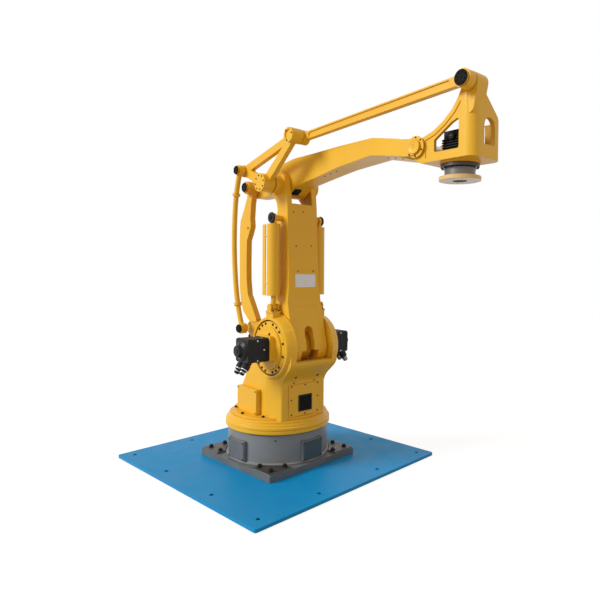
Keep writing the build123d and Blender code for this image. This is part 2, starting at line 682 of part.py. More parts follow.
def level_rod_spot(share):
    """Return a point of the level rod's bowed line, at a share of its length from the lower eye."""
    bow = LEVEL_BOW * (4 * share * (1 - share)) ** 0.75
    run = (LEVEL_HIGH[0] - LEVEL_LOW[0], LEVEL_HIGH[1] - LEVEL_LOW[1])
    return (LEVEL_LOW[0] + run[0] * share - bow, LEVEL_LOW[1] + run[1] * share)


def build_level_rod():
    middle = (LEVEL_IN + LEVEL_OUT) / 2
    shares = (0.0, 0.15, 0.35, 0.5, 0.68, 0.85, 1.0)
    path = Spline(*[(x, middle, z) for x, z in map(level_rod_spot, shares)])
    start = Plane(origin=path @ 0, z_dir=path % 0)
    body = sweep(start * Circle(LEVEL_ROD_R), path)
    for share in (shares[1], shares[-2]):
        spot = level_rod_spot(share)
        ahead = level_rod_spot(share + 0.01)
        collar = Plane(origin=(spot[0], middle, spot[1]), z_dir=(ahead[0] - spot[0], 0, ahead[1] - spot[1]))
        body += extrude(collar * Circle(LEVEL_COLLAR_R), RUN * 2, both=True)
    body += drum(LEVEL_LOW, LEVEL_EYE_R, LEVEL_IN, LEVEL_OUT)
    body += drum(LEVEL_HIGH, LEVEL_EYE_R, LEVEL_IN, LEVEL_OUT)
    body -= drum(LEVEL_LOW, LEVEL_PIN_R + PIN_FIT, LEVEL_IN + 1, LEVEL_OUT - 1)
    return body - drum(LEVEL_HIGH, LEVEL_PIN_R + LOOP_FIT, LEVEL_IN + 1, LEVEL_OUT - 1)


def build_level_pin_low():
    head = LEVEL_OUT - RUN / 1.5
    body = drum(LEVEL_LOW, LEVEL_PIN_R, LEVEL_IN + RUN, head)
    return body + drum(LEVEL_LOW, LEVEL_EYE_R - 8, head, head - HEAD_T)


def build_triangle():
    bars_out = LEVEL_IN + RUN
    bars_in = TRIANGLE_IN - 20
    head = LEVEL_OUT - RUN / 1.5
    body = drum(ELBOW, TRIANGLE_HUB_R, TRIANGLE_IN, TRIANGLE_OUT)
    body += drum(LEVEL_HIGH, BOSS_R, TRIANGLE_IN - 10, bars_out)
    body += drum(TIE_REAR, TOP_BOSS_R, TIE_OUT - RUN, TRIANGLE_OUT)
    for first, last, first_r in ((ELBOW, LEVEL_HIGH, 44), (ELBOW, TIE_REAR, 36), (LEVEL_HIGH, TIE_REAR, 30)):
        body += slab(bar(first, last, first_r, TRIANGLE_BAR_R), bars_in, bars_out)
    corner = outline([LEVEL_HIGH, shift(LEVEL_HIGH, (110, 62)), shift(LEVEL_HIGH, (110, -50))])
    body += slab(corner, bars_in, bars_out)
    body -= drum(TIE_REAR, TOP_BOSS_R - 14, TRIANGLE_OUT + GROOVE, TRIANGLE_OUT - 1)
    body += drum(LEVEL_HIGH, LEVEL_PIN_R, bars_out, head)
    body += drum(LEVEL_HIGH, LEVEL_EYE_R - 8, head, head - HEAD_T)
    body += drum(TIE_REAR, TIE_PIN_R, TIE_IN, TIE_OUT - RUN)
    return body - drum(ELBOW, ELBOW_PIN_R + PIN_FIT, TRIANGLE_IN + 1, TRIANGLE_OUT + 30)


def build_tie_rod():
    rod = slab(bar(TIE_REAR, TIE_FRONT, TIE_HALF, TIE_HALF), TIE_IN - 8, TIE_OUT + 8)
    flute = slab(bar(shift(TIE_REAR, (2 * TIE_EYE_R, 4)), shift(TIE_FRONT, (-2 * TIE_EYE_R, -4)),
                     TIE_HALF - 10, TIE_HALF - 10), TIE_OUT + 8 + GROOVE, TIE_OUT)
    body = rod - flute
    body += drum(TIE_REAR, TIE_EYE_R, TIE_IN, TIE_OUT)
    body += drum(TIE_FRONT, TIE_EYE_R, TIE_IN, TIE_OUT)
    body -= drum(TIE_REAR, TIE_PIN_R + PIN_FIT, TIE_IN + 1, TIE_OUT - 1)
    return body - drum(TIE_FRONT, TIE_PIN_R + LOOP_FIT, TIE_IN + 1, TIE_OUT - 1)


def upper_plan():
    """Return the plan of the upper arm, even about its middle but for the tail beside the drive link."""
    bend = WRIST[0] - BEND_BACK
    half = [
        (ELBOW[0] + 110, 86), (ELBOW[0] + 200, UPPER_HALF), (ELBOW[0] + 400, UPPER_HALF), (bend, UPPER_BEND_HALF),
        (WRIST[0] - 150, UPPER_WRIST_HALF), (WRIST[0] + 10, UPPER_WRIST_HALF),
    ]
    right_tail = [(TAIL[0] - 80, LINK_IN + RUN), (TAIL[0] + 190, LINK_IN + RUN), (ELBOW[0] - 130, -86)]
    left_tail = [(ELBOW[0] - 110, 86), (ELBOW[0] - 130, TAIL_IN), (TAIL[0] - 80, TAIL_IN)]
    return outline(right_tail + [(x, -y) for x, y in half] + list(reversed(half)) + left_tail)


def build_upper_arm():
    side = outline([
        out_upper(TAIL_ARM[0], 48), out_upper(-380, 68), out_upper(-290, 100), out_upper(-205, 132),
        out_upper(-85, 162), out_upper(60, 174), out_upper(158, 183), back_upper(725, 168),
        back_upper(BEND_BACK, 149), back_upper(88, 62), back_upper(0, WRIST_R - 16),
        back_upper(0, 16 - WRIST_R), back_upper(70, -44), back_upper(BEND_BACK + 15, 39),
        back_upper(725, 27), out_upper(135, -28), out_upper(60, -70), out_upper(-60, -50),
        out_upper(TAIL_ARM[0], -36),
    ])
    plan = Pos(0, 0, ELBOW[1] - 2 * UPPER_HUB_R) * extrude(upper_plan(), UPPER_L / 2)
    body = slab(side, -UPPER_WRIST_HALF, UPPER_WRIST_HALF) & plan
    body += drum(WRIST, WRIST_R, -UPPER_WRIST_HALF + WRIST_CAP_T, UPPER_WRIST_HALF - WRIST_CAP_T)
    body += drum(WRIST, WRIST_CAP_R, -UPPER_WRIST_HALF, UPPER_WRIST_HALF)
    body += drum(ELBOW, UPPER_HUB_R, -UPPER_HUB_HALF, UPPER_HUB_HALF)
    body -= slab(outline([
        shift(WRIST, (-130, -140)), shift(WRIST, (140, -140)), shift(WRIST, (140, 140)),
        shift(WRIST, (-130, 140)),
    ]), -WRIST_IN, WRIST_IN)
    body += slab(bar(ELBOW, TAIL, 56, 48), LINK_IN + RUN, TAIL_IN)
    body += drum(TAIL, TAIL_PIN_R, LINK_TOP_OUT - RUN, LINK_IN + RUN)
    body += drum(TAIL, BOSS_R - 6, LINK_TOP_OUT - RUN, LINK_TOP_OUT - RUN - HEAD_T)
    return body + drum(ELBOW, ELBOW_PIN_R, TRIANGLE_OUT + 36, FORK_BOSS - RUN)


def build_wrist_head():
    side = outline([
        shift(WRIST, (-46, -34)), shift(WRIST, (-16, -70)), shift(WRIST, (32, HEAD_BASE)),
        shift(WRIST, (HEAD_FRONT, HEAD_BASE)), shift(WRIST, (HEAD_FRONT, 236)),
        shift(TIE_FRONT, (30, -10)), shift(TIE_FRONT, (-48, -22)), shift(WRIST, (281, 220)),
        shift(WRIST, (243, 165)), shift(WRIST, (184, 113)), shift(WRIST, (116, 71)),
        shift(WRIST, (40, 46)), shift(WRIST, (-46, 34)),
    ])
    body = slab(side, -HEAD_HALF, HEAD_HALF) + drum(WRIST, WRIST_R - 4, -HEAD_HALF, HEAD_HALF)
    field = offset(side, -HEAD_RIM) & outline([
        shift(WRIST, (WRIST_R, HEAD_BASE)), shift(WRIST, (HEAD_FRONT - HEAD_CORNER - HEAD_RIM, HEAD_BASE)),
        shift(WRIST, (HEAD_FRONT - HEAD_CORNER - HEAD_RIM, HEAD_FRONT)), shift(WRIST, (WRIST_R, HEAD_FRONT)),
    ])
    body -= slab(field, -HEAD_HALF - 1, -HEAD_HALF + HEAD_POCKET)
    body -= slab(field, HEAD_HALF - HEAD_POCKET, HEAD_HALF + 1)
    front = [edge for edge in body.edges().filter_by(Axis.Z) if edge.center().X > WRIST[0] + HEAD_FRONT - 1]
    body = fillet(front, HEAD_CORNER)
    top_z = WRIST[1] + 262
    low_z = WRIST[1] + 92
    slope = make_face(Polyline((-HEAD_EYE_R, top_z), (HEAD_HALF, low_z), (2 * HEAD_HALF, low_z),
                               (2 * HEAD_HALF, top_z + HEAD_FRONT), (-HEAD_EYE_R, top_z + HEAD_FRONT), close=True))
    body -= extrude(Plane.YZ.offset(WRIST[0]) * slope, 2 * HEAD_FRONT)
    body -= slab(outline([
        shift(WRIST, (121, -46)), shift(WRIST, (285, -46)), shift(WRIST, (285, 118)),
        shift(WRIST, (236, 98)), shift(WRIST, (121, 22)),
    ], 2 * RUN), -HEAD_HALF - 1, HEAD_HALF + 1)
    arch = Pos(0, -24) * Rectangle(2 * 50, 96) + Pos(0, 24) * Circle(50)
    arch_plane = Plane(origin=(WRIST[0] + HEAD_FRONT - 2 * HEAD_WALL, 10, WRIST[1] + 48), x_dir=(0, 1, 0),
                       z_dir=(1, 0, 0))
    body -= extrude(arch_plane * arch, 3 * HEAD_WALL)
    inner_x = HEAD_FRONT - HEAD_WALL
    body -= slab(outline([
        shift(WRIST, (-2 * HEAD_HALF, HEAD_BASE + HEAD_WALL)), shift(WRIST, (inner_x, HEAD_BASE + HEAD_WALL)),
        shift(WRIST, (inner_x, 2 * HEAD_FRONT)), shift(WRIST, (-2 * HEAD_HALF, 2 * HEAD_FRONT)),
    ]), -HEAD_HALF + HEAD_WALL, HEAD_HALF - HEAD_WALL)
    body += drum(TIE_FRONT, HEAD_EYE_R, TIE_IN + RUN, HEAD_EYE_IN)
    body += slab(bar(TIE_FRONT, shift(WRIST, (inner_x - 14, 160)), HEAD_EYE_R, 36),
                 -HEAD_HALF + HEAD_POCKET, HEAD_EYE_IN)
    head = TIE_OUT - RUN / 1.5
    body += drum(TIE_FRONT, TIE_PIN_R, head, TIE_IN + RUN)
    body += drum(TIE_FRONT, TIE_EYE_R - 8, head, head - HEAD_T)
    collar = extrude(Circle(COLLAR_R), COLLAR_T + HEAD_WALL)
    body += Pos(TOOL_X, 0, WRIST[1] + HEAD_BASE - COLLAR_T) * collar
    body -= Pos(TOOL_X, 0, WRIST[1] + HEAD_BASE - COLLAR_T - 1) * extrude(Circle(BARREL_R), 2 * COLLAR_R)
    return body - drum(WRIST, WRIST_PIN_R + PIN_FIT, -HEAD_HALF - 1, HEAD_HALF + 1)


def build_wrist_pin():
    return drum(WRIST, WRIST_PIN_R, -WRIST_IN, WRIST_IN)


def build_wrist_motor():
    base = WRIST[1] + HEAD_BASE + HEAD_WALL
    side = 1.5 * BARREL_R
    body = Part() + Pos(TOOL_X, 0, base) * extrude(Rectangle(side, side), 1.7 * BARREL_R)
    return body + Pos(TOOL_X, 0, base - HEAD_WALL - COLLAR_T) * extrude(Circle(BARREL_R - RUN), HEAD_WALL + COLLAR_T)


def build_wrist_reducer():
    top = WRIST[1] + HEAD_BASE - COLLAR_T
    body = Pos(TOOL_X, 0, top - REDUCER_DARK_T) * extrude(Circle(REDUCER_DARK_R), REDUCER_DARK_T)
    return body - Pos(TOOL_X, 0, top - REDUCER_DARK_T - 1) * extrude(Circle(TOOL_SHAFT_R + PIN_FIT), 4 * RUN)


def build_tool_flange():
    top = WRIST[1] + HEAD_BASE - COLLAR_T - REDUCER_DARK_T - RUN / 2
    body = Part() + Pos(TOOL_X, 0, TOOL_Z + DISC_T) * extrude(Circle(BARREL_R), top - TOOL_Z - DISC_T)
    body += Pos(TOOL_X, 0, TOOL_Z) * extrude(Circle(DISC_R), DISC_T)
    body += Pos(TOOL_X, 0, top) * extrude(Circle(TOOL_SHAFT_R), 3 * RUN)
    body -= Pos(TOOL_X, 0, TOOL_Z - 1) * extrude(Circle(TOOL_BORE_R), TOOL_BORE_DEPTH + 1)
    for step in range(TOOL_HOLES):
        angle = radians(360 / TOOL_HOLES * step)
        x = TOOL_X + TOOL_PCD / 2 * cos(angle)
        y = TOOL_PCD / 2 * sin(angle)
        body -= Pos(x, y, TOOL_Z - 1) * extrude(Circle(TOOL_HOLE_R), TOOL_HOLE_DEPTH + 1)
    return body


def fixed_pieces():
    """Return the pieces that stand still, by name."""
    return {
        "floor_plate": build_floor_plate(),
        "base_plate": build_base_plate(),
        "pedestal_drum": build_pedestal(),
        "cable_box_side": build_junction_box(-90),
        "cable_box_front": build_junction_box(0),
    }


def arm_pieces():
    """Return the pieces that slew, by name, with the arm facing +X."""
    pieces = {
        "slew_ring": build_slew_ring(),
        "swivel_casting": build_swivel(),
        "swivel_side_cover": build_side_cover(),
        "swivel_front_panel": build_front_panel(),
        "level_rod_pin": build_level_pin_low(),
        "lower_arm": build_lower_arm(),
        "lower_arm_apron": build_apron(),
        "crank": build_crank(),
        "crank_pin": build_crank_pin(),
        "drive_link": build_drive_link(),
        "level_rod": build_level_rod(),
        "triangle_link": build_triangle(),
        "tie_rod": build_tie_rod(),
        "upper_arm": build_upper_arm(),
        "wrist_head": build_wrist_head(),
        "wrist_pin": build_wrist_pin(),
        "wrist_motor": build_wrist_motor(),
        "wrist_reducer": build_wrist_reducer(),
        "tool_flange": build_tool_flange(),
    }
    for name, side in (("right", -1), ("left", 1)):
        pieces[f"swivel_cheek_{name}"] = build_cheek(side)
        pieces[f"shoulder_reducer_{name}"] = build_reducer(side)
        pieces[f"shoulder_motor_{name}"] = build_motor(side)
        pieces[f"lower_arm_hub_{name}"] = build_lower_hub(side)
        pieces[f"lower_arm_fork_{name}"] = build_fork_arm(side)
        pieces[f"balancer_clevis_{name}"] = build_clevis(side)
        pieces[f"balancer_rod_{name}"] = build_balancer_rod(side)
        pieces[f"balancer_tube_{name}"] = build_balancer_tube(side)
        pieces[f"balancer_pin_{name}"] = build_balancer_pin(side)
    return pieces


def main():
    for name, shape in fixed_pieces().items():
        export_step(Part() + shape, f"parts/{name}.step")
    for name, shape in arm_pieces().items():
        export_step(Part() + (Rot(0, 0, SLEW) * shape), f"parts/{name}.step")


main()
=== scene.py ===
"""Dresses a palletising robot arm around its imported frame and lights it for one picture."""
from __future__ import annotations

import json
import logging
import math
from dataclasses import dataclass, field
from enum import Enum
from typing import Callable, Sequence

import bmesh
import bpy
from mathutils import Matrix, Vector
from mathutils.bvhtree import BVHTree

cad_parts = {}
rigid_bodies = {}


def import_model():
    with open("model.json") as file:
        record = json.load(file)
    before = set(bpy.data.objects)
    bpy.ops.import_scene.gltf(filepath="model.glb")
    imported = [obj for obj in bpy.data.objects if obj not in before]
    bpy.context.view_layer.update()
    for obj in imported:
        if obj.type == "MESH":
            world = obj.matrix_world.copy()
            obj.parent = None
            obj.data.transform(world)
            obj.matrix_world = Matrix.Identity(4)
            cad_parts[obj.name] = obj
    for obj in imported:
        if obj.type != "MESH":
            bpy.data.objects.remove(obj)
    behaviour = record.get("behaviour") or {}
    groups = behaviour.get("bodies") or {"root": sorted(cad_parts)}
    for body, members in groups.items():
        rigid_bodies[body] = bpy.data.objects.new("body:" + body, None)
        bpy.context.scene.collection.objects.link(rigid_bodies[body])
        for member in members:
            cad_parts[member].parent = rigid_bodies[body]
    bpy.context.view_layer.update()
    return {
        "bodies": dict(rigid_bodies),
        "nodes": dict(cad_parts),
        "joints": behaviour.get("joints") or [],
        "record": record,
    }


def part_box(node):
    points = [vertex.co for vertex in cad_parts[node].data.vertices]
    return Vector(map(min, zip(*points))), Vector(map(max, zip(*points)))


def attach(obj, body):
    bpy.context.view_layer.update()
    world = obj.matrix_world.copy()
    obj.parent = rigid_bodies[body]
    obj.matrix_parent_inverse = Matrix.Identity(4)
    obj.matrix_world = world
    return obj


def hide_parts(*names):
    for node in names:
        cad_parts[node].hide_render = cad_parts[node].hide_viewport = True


LOG = logging.getLogger("robot_arm")
MM = 0.001
RIGHT = -1
LEFT = 1
SIDES = ((RIGHT, "right"), (LEFT, "left"))
FAR = 900.0  # where a line that looks for a seat starts, in millimetres from the slewing axis
FACING = 0.9  # the share of a normal along an axis from which its face looks that way
SUNK = 0.5  # how deep a screw's foot reaches into its seat, in millimetres
SHARP_TURN = 32.0  # edges that turn by more than this many degrees stay sharp
ROUNDED_TURN = 38.0  # edges that turn by more than this many degrees get rounded
FLAT_TURN = 0.6  # faces that turn by less than this many degrees are one flat area
SAME_SPOT = 1e-6  # points nearer than this many metres are one
Point = tuple[float, float]
Triple = tuple[float, float, float]
Colour = Triple
Socket = bpy.types.NodeSocket


class Finish(Enum):
    """The named finishes of the arm."""

    YELLOW = "yellow_enamel"
    BLUE = "blue_plate_paint"
    GREY = "grey_base_paint"
    BLACK = "black_motor_paint"
    OXIDE = "black_oxide_steel"
    STEEL = "turned_steel"
    RUBBER = "bumper_rubber"
    ALUMINIUM = "milled_aluminium"
    LABEL = "bare_label_plate"
    SHADOW = "dark_cavity"
    SLATE = "slate_lid_paint"
    GUNMETAL = "reducer_gunmetal"
    DRUM = "pale_drum_paint"
    BARREL = "flange_barrel_steel"
    TAN = "disc_rim_tan"


class Graph:
    """A shader tree that is built in few words."""

    def __init__(self, tree: bpy.types.NodeTree) -> None:
        """Keeps the tree."""
        self.tree = tree

    def add(self, kind: str, values: dict[str, float | tuple] | None = None,
            operation: str = "") -> bpy.types.Node:
        """Adds a node.

        Args:
            kind: The node's type, without its leading ShaderNode.
            values: The values of some of its inputs, by their names.
            operation: What a maths node works out.

        Returns:
            The node.
        """
        node = self.tree.nodes.new(f"ShaderNode{kind}")
        if operation:
            node.operation = operation
        for name, value in (values or {}).items():
            node.inputs[name].default_value = value
        return node

    def link(self, *ends: Socket) -> None:
        """Links sockets in pairs, each an output and then an input."""
        for source, target in zip(ends[::2], ends[1::2]):
            self.tree.links.new(source, target)

    def group(self, tree: bpy.types.NodeTree, values: dict[str, float]) -> bpy.types.Node:
        """Places a shared group with the values of some of its inputs."""
        node = self.add("Group")
        node.node_tree = tree
        for name, value in values.items():
            node.inputs[name].default_value = value
        return node

    def maths(self, operation: str, first: Socket, second: Socket) -> bpy.types.Node:
        """Adds a maths node of two linked values."""
        node = self.add("Math", operation=operation)
        self.link(first, node.inputs[0], second, node.inputs[1])
        return node

    def product(self, first: Socket, second: Socket) -> Socket:
        """Returns the product of two values."""
        return self.maths("MULTIPLY", first, second).outputs["Value"]

    def span(self, value: Socket, low: float, high: float) -> Socket:
        """Returns a value with the range from low to high stretched to 0 to 1."""
        node = self.add("MapRange", {"From Min": low, "From Max": high})
        self.link(value, node.inputs["Value"])
        return node.outputs["Result"]

    def noise(self, scale: Socket, detail: float, roughness: float = 0.5) -> Socket:
        """Adds a noise in the object's own space.

        Args:
            scale: The socket that gives its scale.
            detail: How many finer layers it has.
            roughness: How strong those layers are.

        Returns:
            The noise's value.
        """
        place = self.add("TexCoord")
        node = self.add("TexNoise", {"Detail": detail, "Roughness": roughness})
        self.link(place.outputs["Object"], node.inputs["Vector"], scale, node.inputs["Scale"])
        return node.outputs["Fac"]

    def blend(self, factor: Socket, first: Colour | Socket, second: Colour) -> Socket:
        """Adds a mix of two colours.

        Args:
            factor: The socket that gives the second colour's share.
            first: The first colour, or the socket that gives it.
            second: The second colour.

        Returns:
            The mixed colour.
        """
        node = self.add("Mix")
        node.data_type = "RGBA"
        ends = [socket for socket in node.inputs if socket.type == "RGBA"]
        if isinstance(first, tuple):
            ends[0].default_value = (*first, 1.0)
        else:
            self.link(first, ends[0])
        ends[1].default_value = (*second, 1.0)
        self.link(factor, node.inputs[0])
        return next(socket for socket in node.outputs if socket.type == "RGBA")


class EffectGroups:
    """The shader effects that several finishes share, each built once."""

    def __init__(self) -> None:
        """Builds the three groups."""
        self.edges = self._edges()
        self.mottle = self._mottle()
        self.dust = self._dust()

    @staticmethod
    def _start(name: str, inputs: dict[str, float], outputs: dict[str, str]
               ) -> tuple[Graph, bpy.types.NodeOutputs, bpy.types.NodeInputs]:
        """Starts a node group.

        Args:
            name: The group's name.
            inputs: Its number inputs with their defaults.
            outputs: Its outputs with their kinds.

        Returns:
            The graph, the sockets that give the inputs and the sockets that take the outputs.
        """
        tree = bpy.data.node_groups.new(name, "ShaderNodeTree")
        for label, value in inputs.items():
            socket = tree.interface.new_socket(name=label, in_out="INPUT", socket_type="NodeSocketFloat")
            socket.default_value = value
        for label, kind in outputs.items():
            tree.interface.new_socket(name=label, in_out="OUTPUT", socket_type=f"NodeSocket{kind}")
        inlet, outlet = tree.nodes.new("NodeGroupInput"), tree.nodes.new("NodeGroupOutput")
        return Graph(tree), inlet.outputs, outlet.inputs

    def _edges(self) -> bpy.types.NodeTree:
        """Builds the group that rounds edges and finds where they are worn."""
        graph, given, out = self._start("edge_wear", {"Radius": 0.003, "Scale": 40.0, "Amount": 0.5},
                                        {"Mask": "Float", "Normal": "Vector"})
        bevel = graph.add("Bevel")
        bevel.samples = 4
        plain = graph.add("NewGeometry")
        dot = graph.add("VectorMath", operation="DOT_PRODUCT")
        graph.link(given["Radius"], bevel.inputs["Radius"], bevel.outputs["Normal"], dot.inputs[0],
                   plain.outputs["Normal"], dot.inputs[1], bevel.outputs["Normal"], out["Normal"])
        turned = graph.span(dot.outputs["Value"], 0.995, 0.9)
        chips = graph.span(graph.noise(given["Scale"], 6.0), 0.5, 0.62)
        graph.link(graph.product(graph.product(turned, chips), given["Amount"]), out["Mask"])
        return graph.tree

    def _mottle(self) -> bpy.types.NodeTree:
        """Builds the group that gives slow colour change and a fine sprayed skin."""
        graph, given, out = self._start("sprayed_skin", {"Tone Scale": 2.5, "Peel Scale": 320.0},
                                        {"Tone": "Float", "Peel": "Float"})
        graph.link(graph.span(graph.noise(given["Tone Scale"], 5.0, 0.6), 0.3, 0.7), out["Tone"],
                   graph.noise(given["Peel Scale"], 2.0), out["Peel"])
        return graph.tree

    def _dust(self) -> bpy.types.NodeTree:
        """Builds the group that lets dust settle on what faces up."""
        graph, given, out = self._start("settled_dust", {"Amount": 0.3, "Scale": 9.0}, {"Mask": "Float"})
        parts = graph.add("SeparateXYZ")
        graph.link(graph.add("NewGeometry").outputs["Normal"], parts.inputs["Vector"])
        upward = graph.span(parts.outputs["Z"], 0.3, 1.0)
        patches = graph.span(graph.noise(given["Scale"], 8.0, 0.7), 0.35, 0.75)
        graph.link(graph.product(graph.product(upward, patches), given["Amount"]), out["Mask"])
        return graph.tree


@dataclass(frozen=True)
class Coating:
    """A painted, metal or rubber surface made from the shared effects."""

    finish: Finish
    colour: Colour
    shade: Colour
    worn: Colour
    dusty: Colour
    roughness: float
    metallic: float = 0.0
    coat: float = 0.0
    edge_radius: float = 0.003
    edge_amount: float = 0.4
    tone_scale: float = 2.5
    peel_scale: float = 320.0
    peel_depth: float = 0.0002
    dust: float = 0.2
    gloss: float = 0.35

    def make(self, effects: EffectGroups) -> bpy.types.Material:
        """Builds the material.

        Args:
            effects: The shared shader groups.

        Returns:
            The material, named after the finish.
        """
        material = bpy.data.materials.new(self.finish.value)
        material.use_nodes = True
        graph = Graph(material.node_tree)
        shader = material.node_tree.nodes["Principled BSDF"].inputs
        shader["Coat Weight"].default_value = self.coat
        shader["Coat Roughness"].default_value = 0.12
        shader["Metallic"].default_value = self.metallic
        shader["Specular IOR Level"].default_value = self.gloss
        edges = graph.group(effects.edges, {"Radius": self.edge_radius, "Amount": self.edge_amount}).outputs
        scales = {"Tone Scale": self.tone_scale, "Peel Scale": self.peel_scale}
        skin = graph.group(effects.mottle, scales).outputs
        dust = graph.group(effects.dust, {"Amount": self.dust}).outputs
        tone = graph.blend(skin["Tone"], self.shade, self.colour)
        dusted = graph.blend(dust["Mask"], tone, self.dusty)
        worn = graph.blend(edges["Mask"], dusted, self.worn)
        rough = graph.add("MapRange", {"To Min": max(0.05, self.roughness - 0.06),
                                       "To Max": min(1.0, self.roughness + 0.08)})
        flat = graph.maths("ADD", rough.outputs["Result"], dust["Mask"])
        flat.use_clamp = True
        bump = graph.add("Bump", {"Strength": 0.6, "Distance": self.peel_depth})
        graph.link(skin["Tone"], rough.inputs["Value"], skin["Peel"], bump.inputs["Height"],
                   edges["Normal"], bump.inputs["Normal"], worn, shader["Base Color"],
                   flat.outputs["Value"], shader["Roughness"], bump.outputs["Normal"], shader["Normal"])
        return material


COATINGS: tuple[Coating, ...] = (
    Coating(Finish.YELLOW, (0.82, 0.455, 0.021), (0.78, 0.41, 0.015), (0.55, 0.29, 0.03), (0.74, 0.48, 0.12),
            0.42, coat=0.12, edge_amount=0.35, dust=0.1, gloss=0.3),
    Coating(Finish.BLUE, (0.002, 0.26, 0.56), (0.002, 0.22, 0.5), (0.06, 0.34, 0.55), (0.04, 0.34, 0.58),
            0.4, coat=0.03, edge_radius=0.002, dust=0.18, tone_scale=1.4, gloss=0.14),
    Coating(Finish.DRUM, (0.235, 0.24, 0.245), (0.19, 0.195, 0.2), (0.36, 0.36, 0.36), (0.27, 0.26, 0.24),
            0.45, coat=0.08, dust=0.3, tone_scale=4.0, gloss=0.25),
    Coating(Finish.GREY, (0.155, 0.158, 0.16), (0.115, 0.117, 0.12), (0.32, 0.32, 0.32), (0.2, 0.18, 0.16),
            0.45, coat=0.08, dust=0.4, tone_scale=4.0, gloss=0.25),
    Coating(Finish.SLATE, (0.066, 0.09, 0.105), (0.055, 0.076, 0.09), (0.2, 0.21, 0.22), (0.12, 0.12, 0.12),
            0.5, dust=0.25, tone_scale=6.0, gloss=0.2),
    Coating(Finish.BLACK, (0.0075, 0.0068, 0.006), (0.005, 0.0047, 0.0042), (0.07, 0.065, 0.06),
            (0.05, 0.045, 0.04), 0.4, coat=0.08, dust=0.15, tone_scale=6.0, gloss=0.18),
    Coating(Finish.OXIDE, (0.012, 0.011, 0.01), (0.008, 0.0075, 0.007), (0.14, 0.13, 0.12),
            (0.05, 0.045, 0.04), 0.42, edge_radius=0.0012, edge_amount=0.5, dust=0.15, tone_scale=30.0,
            gloss=0.22),
    Coating(Finish.STEEL, (0.56, 0.55, 0.53), (0.47, 0.46, 0.44), (0.7, 0.7, 0.7), (0.4, 0.38, 0.35),
            0.3, metallic=0.9, edge_radius=0.0012, dust=0.15, tone_scale=12.0, gloss=0.5),
    Coating(Finish.RUBBER, (0.01, 0.0095, 0.009), (0.007, 0.0068, 0.0065), (0.04, 0.04, 0.04),
            (0.06, 0.055, 0.05), 0.7, edge_radius=0.004, edge_amount=0.2, peel_depth=0.0005, dust=0.2,
            tone_scale=10.0, gloss=0.12),
    Coating(Finish.ALUMINIUM, (0.6, 0.5, 0.39), (0.52, 0.43, 0.33), (0.75, 0.72, 0.66), (0.5, 0.46, 0.4),
            0.38, metallic=0.35, edge_radius=0.0015, dust=0.1, tone_scale=14.0, gloss=0.4),
    Coating(Finish.LABEL, (0.8, 0.8, 0.79), (0.74, 0.74, 0.73), (0.4, 0.4, 0.4), (0.5, 0.48, 0.45),
            0.45, edge_radius=0.0005, dust=0.1, tone_scale=18.0, gloss=0.3),
    Coating(Finish.SHADOW, (0.008, 0.008, 0.008), (0.006, 0.006, 0.006), (0.01, 0.01, 0.01),
            (0.01, 0.01, 0.01), 0.9, edge_radius=0.001, dust=0.0, tone_scale=8.0, gloss=0.05),
    Coating(Finish.GUNMETAL, (0.085, 0.075, 0.066), (0.06, 0.053, 0.047), (0.25, 0.23, 0.2),
            (0.12, 0.11, 0.1), 0.38, metallic=0.4, edge_radius=0.002, dust=0.1, tone_scale=9.0, gloss=0.4),
    Coating(Finish.BARREL, (0.18, 0.165, 0.155), (0.14, 0.127, 0.118), (0.34, 0.32, 0.3), (0.2, 0.19, 0.17),
            0.36, metallic=0.4, edge_radius=0.002, dust=0.1, tone_scale=9.0, gloss=0.4),
    Coating(Finish.TAN, (0.74, 0.5, 0.2), (0.68, 0.44, 0.16), (0.6, 0.45, 0.3), (0.7, 0.5, 0.25),
            0.4, edge_radius=0.002, dust=0.1, tone_scale=8.0, gloss=0.35),
)


class PaintShop:
    """Holds every material and puts it on pieces."""

    def __init__(self) -> None:
        """Builds the shared effects and all the coatings."""
        effects = EffectGroups()
        self.materials = {coating.finish: coating.make(effects) for coating in COATINGS}

    def dress(self, piece: bpy.types.Object, finish: Finish) -> None:
        """Puts one finish on all of a piece.

        Args:
            piece: The piece, new or from the frame.
            finish: The finish's name.
        """
        piece.data.materials.clear()
        piece.data.materials.append(self.materials[finish])


def shift(x: float, y: float, z: float) -> Matrix:
    """Returns the placing that moves by a distance given in millimetres."""
    return Matrix.Translation(Vector((x, y, z)) * MM)


def polar(radius: float, turn: float) -> Point:
    """Returns the point of a flat plane at a radius and an angle in degrees."""
    return radius * math.cos(math.radians(turn)), radius * math.sin(math.radians(turn))


def ring_spots(count: int, radius: float, start: float = 0.0) -> list[Point]:
    """Returns points spaced evenly round a circle, in millimetres.

    Args:
        count: How many points.
        radius: The circle's radius.
        start: The first point's angle in degrees.

    Returns:
        The points.
    """
    return [polar(radius, start + 360.0 * step / count) for step in range(count)]


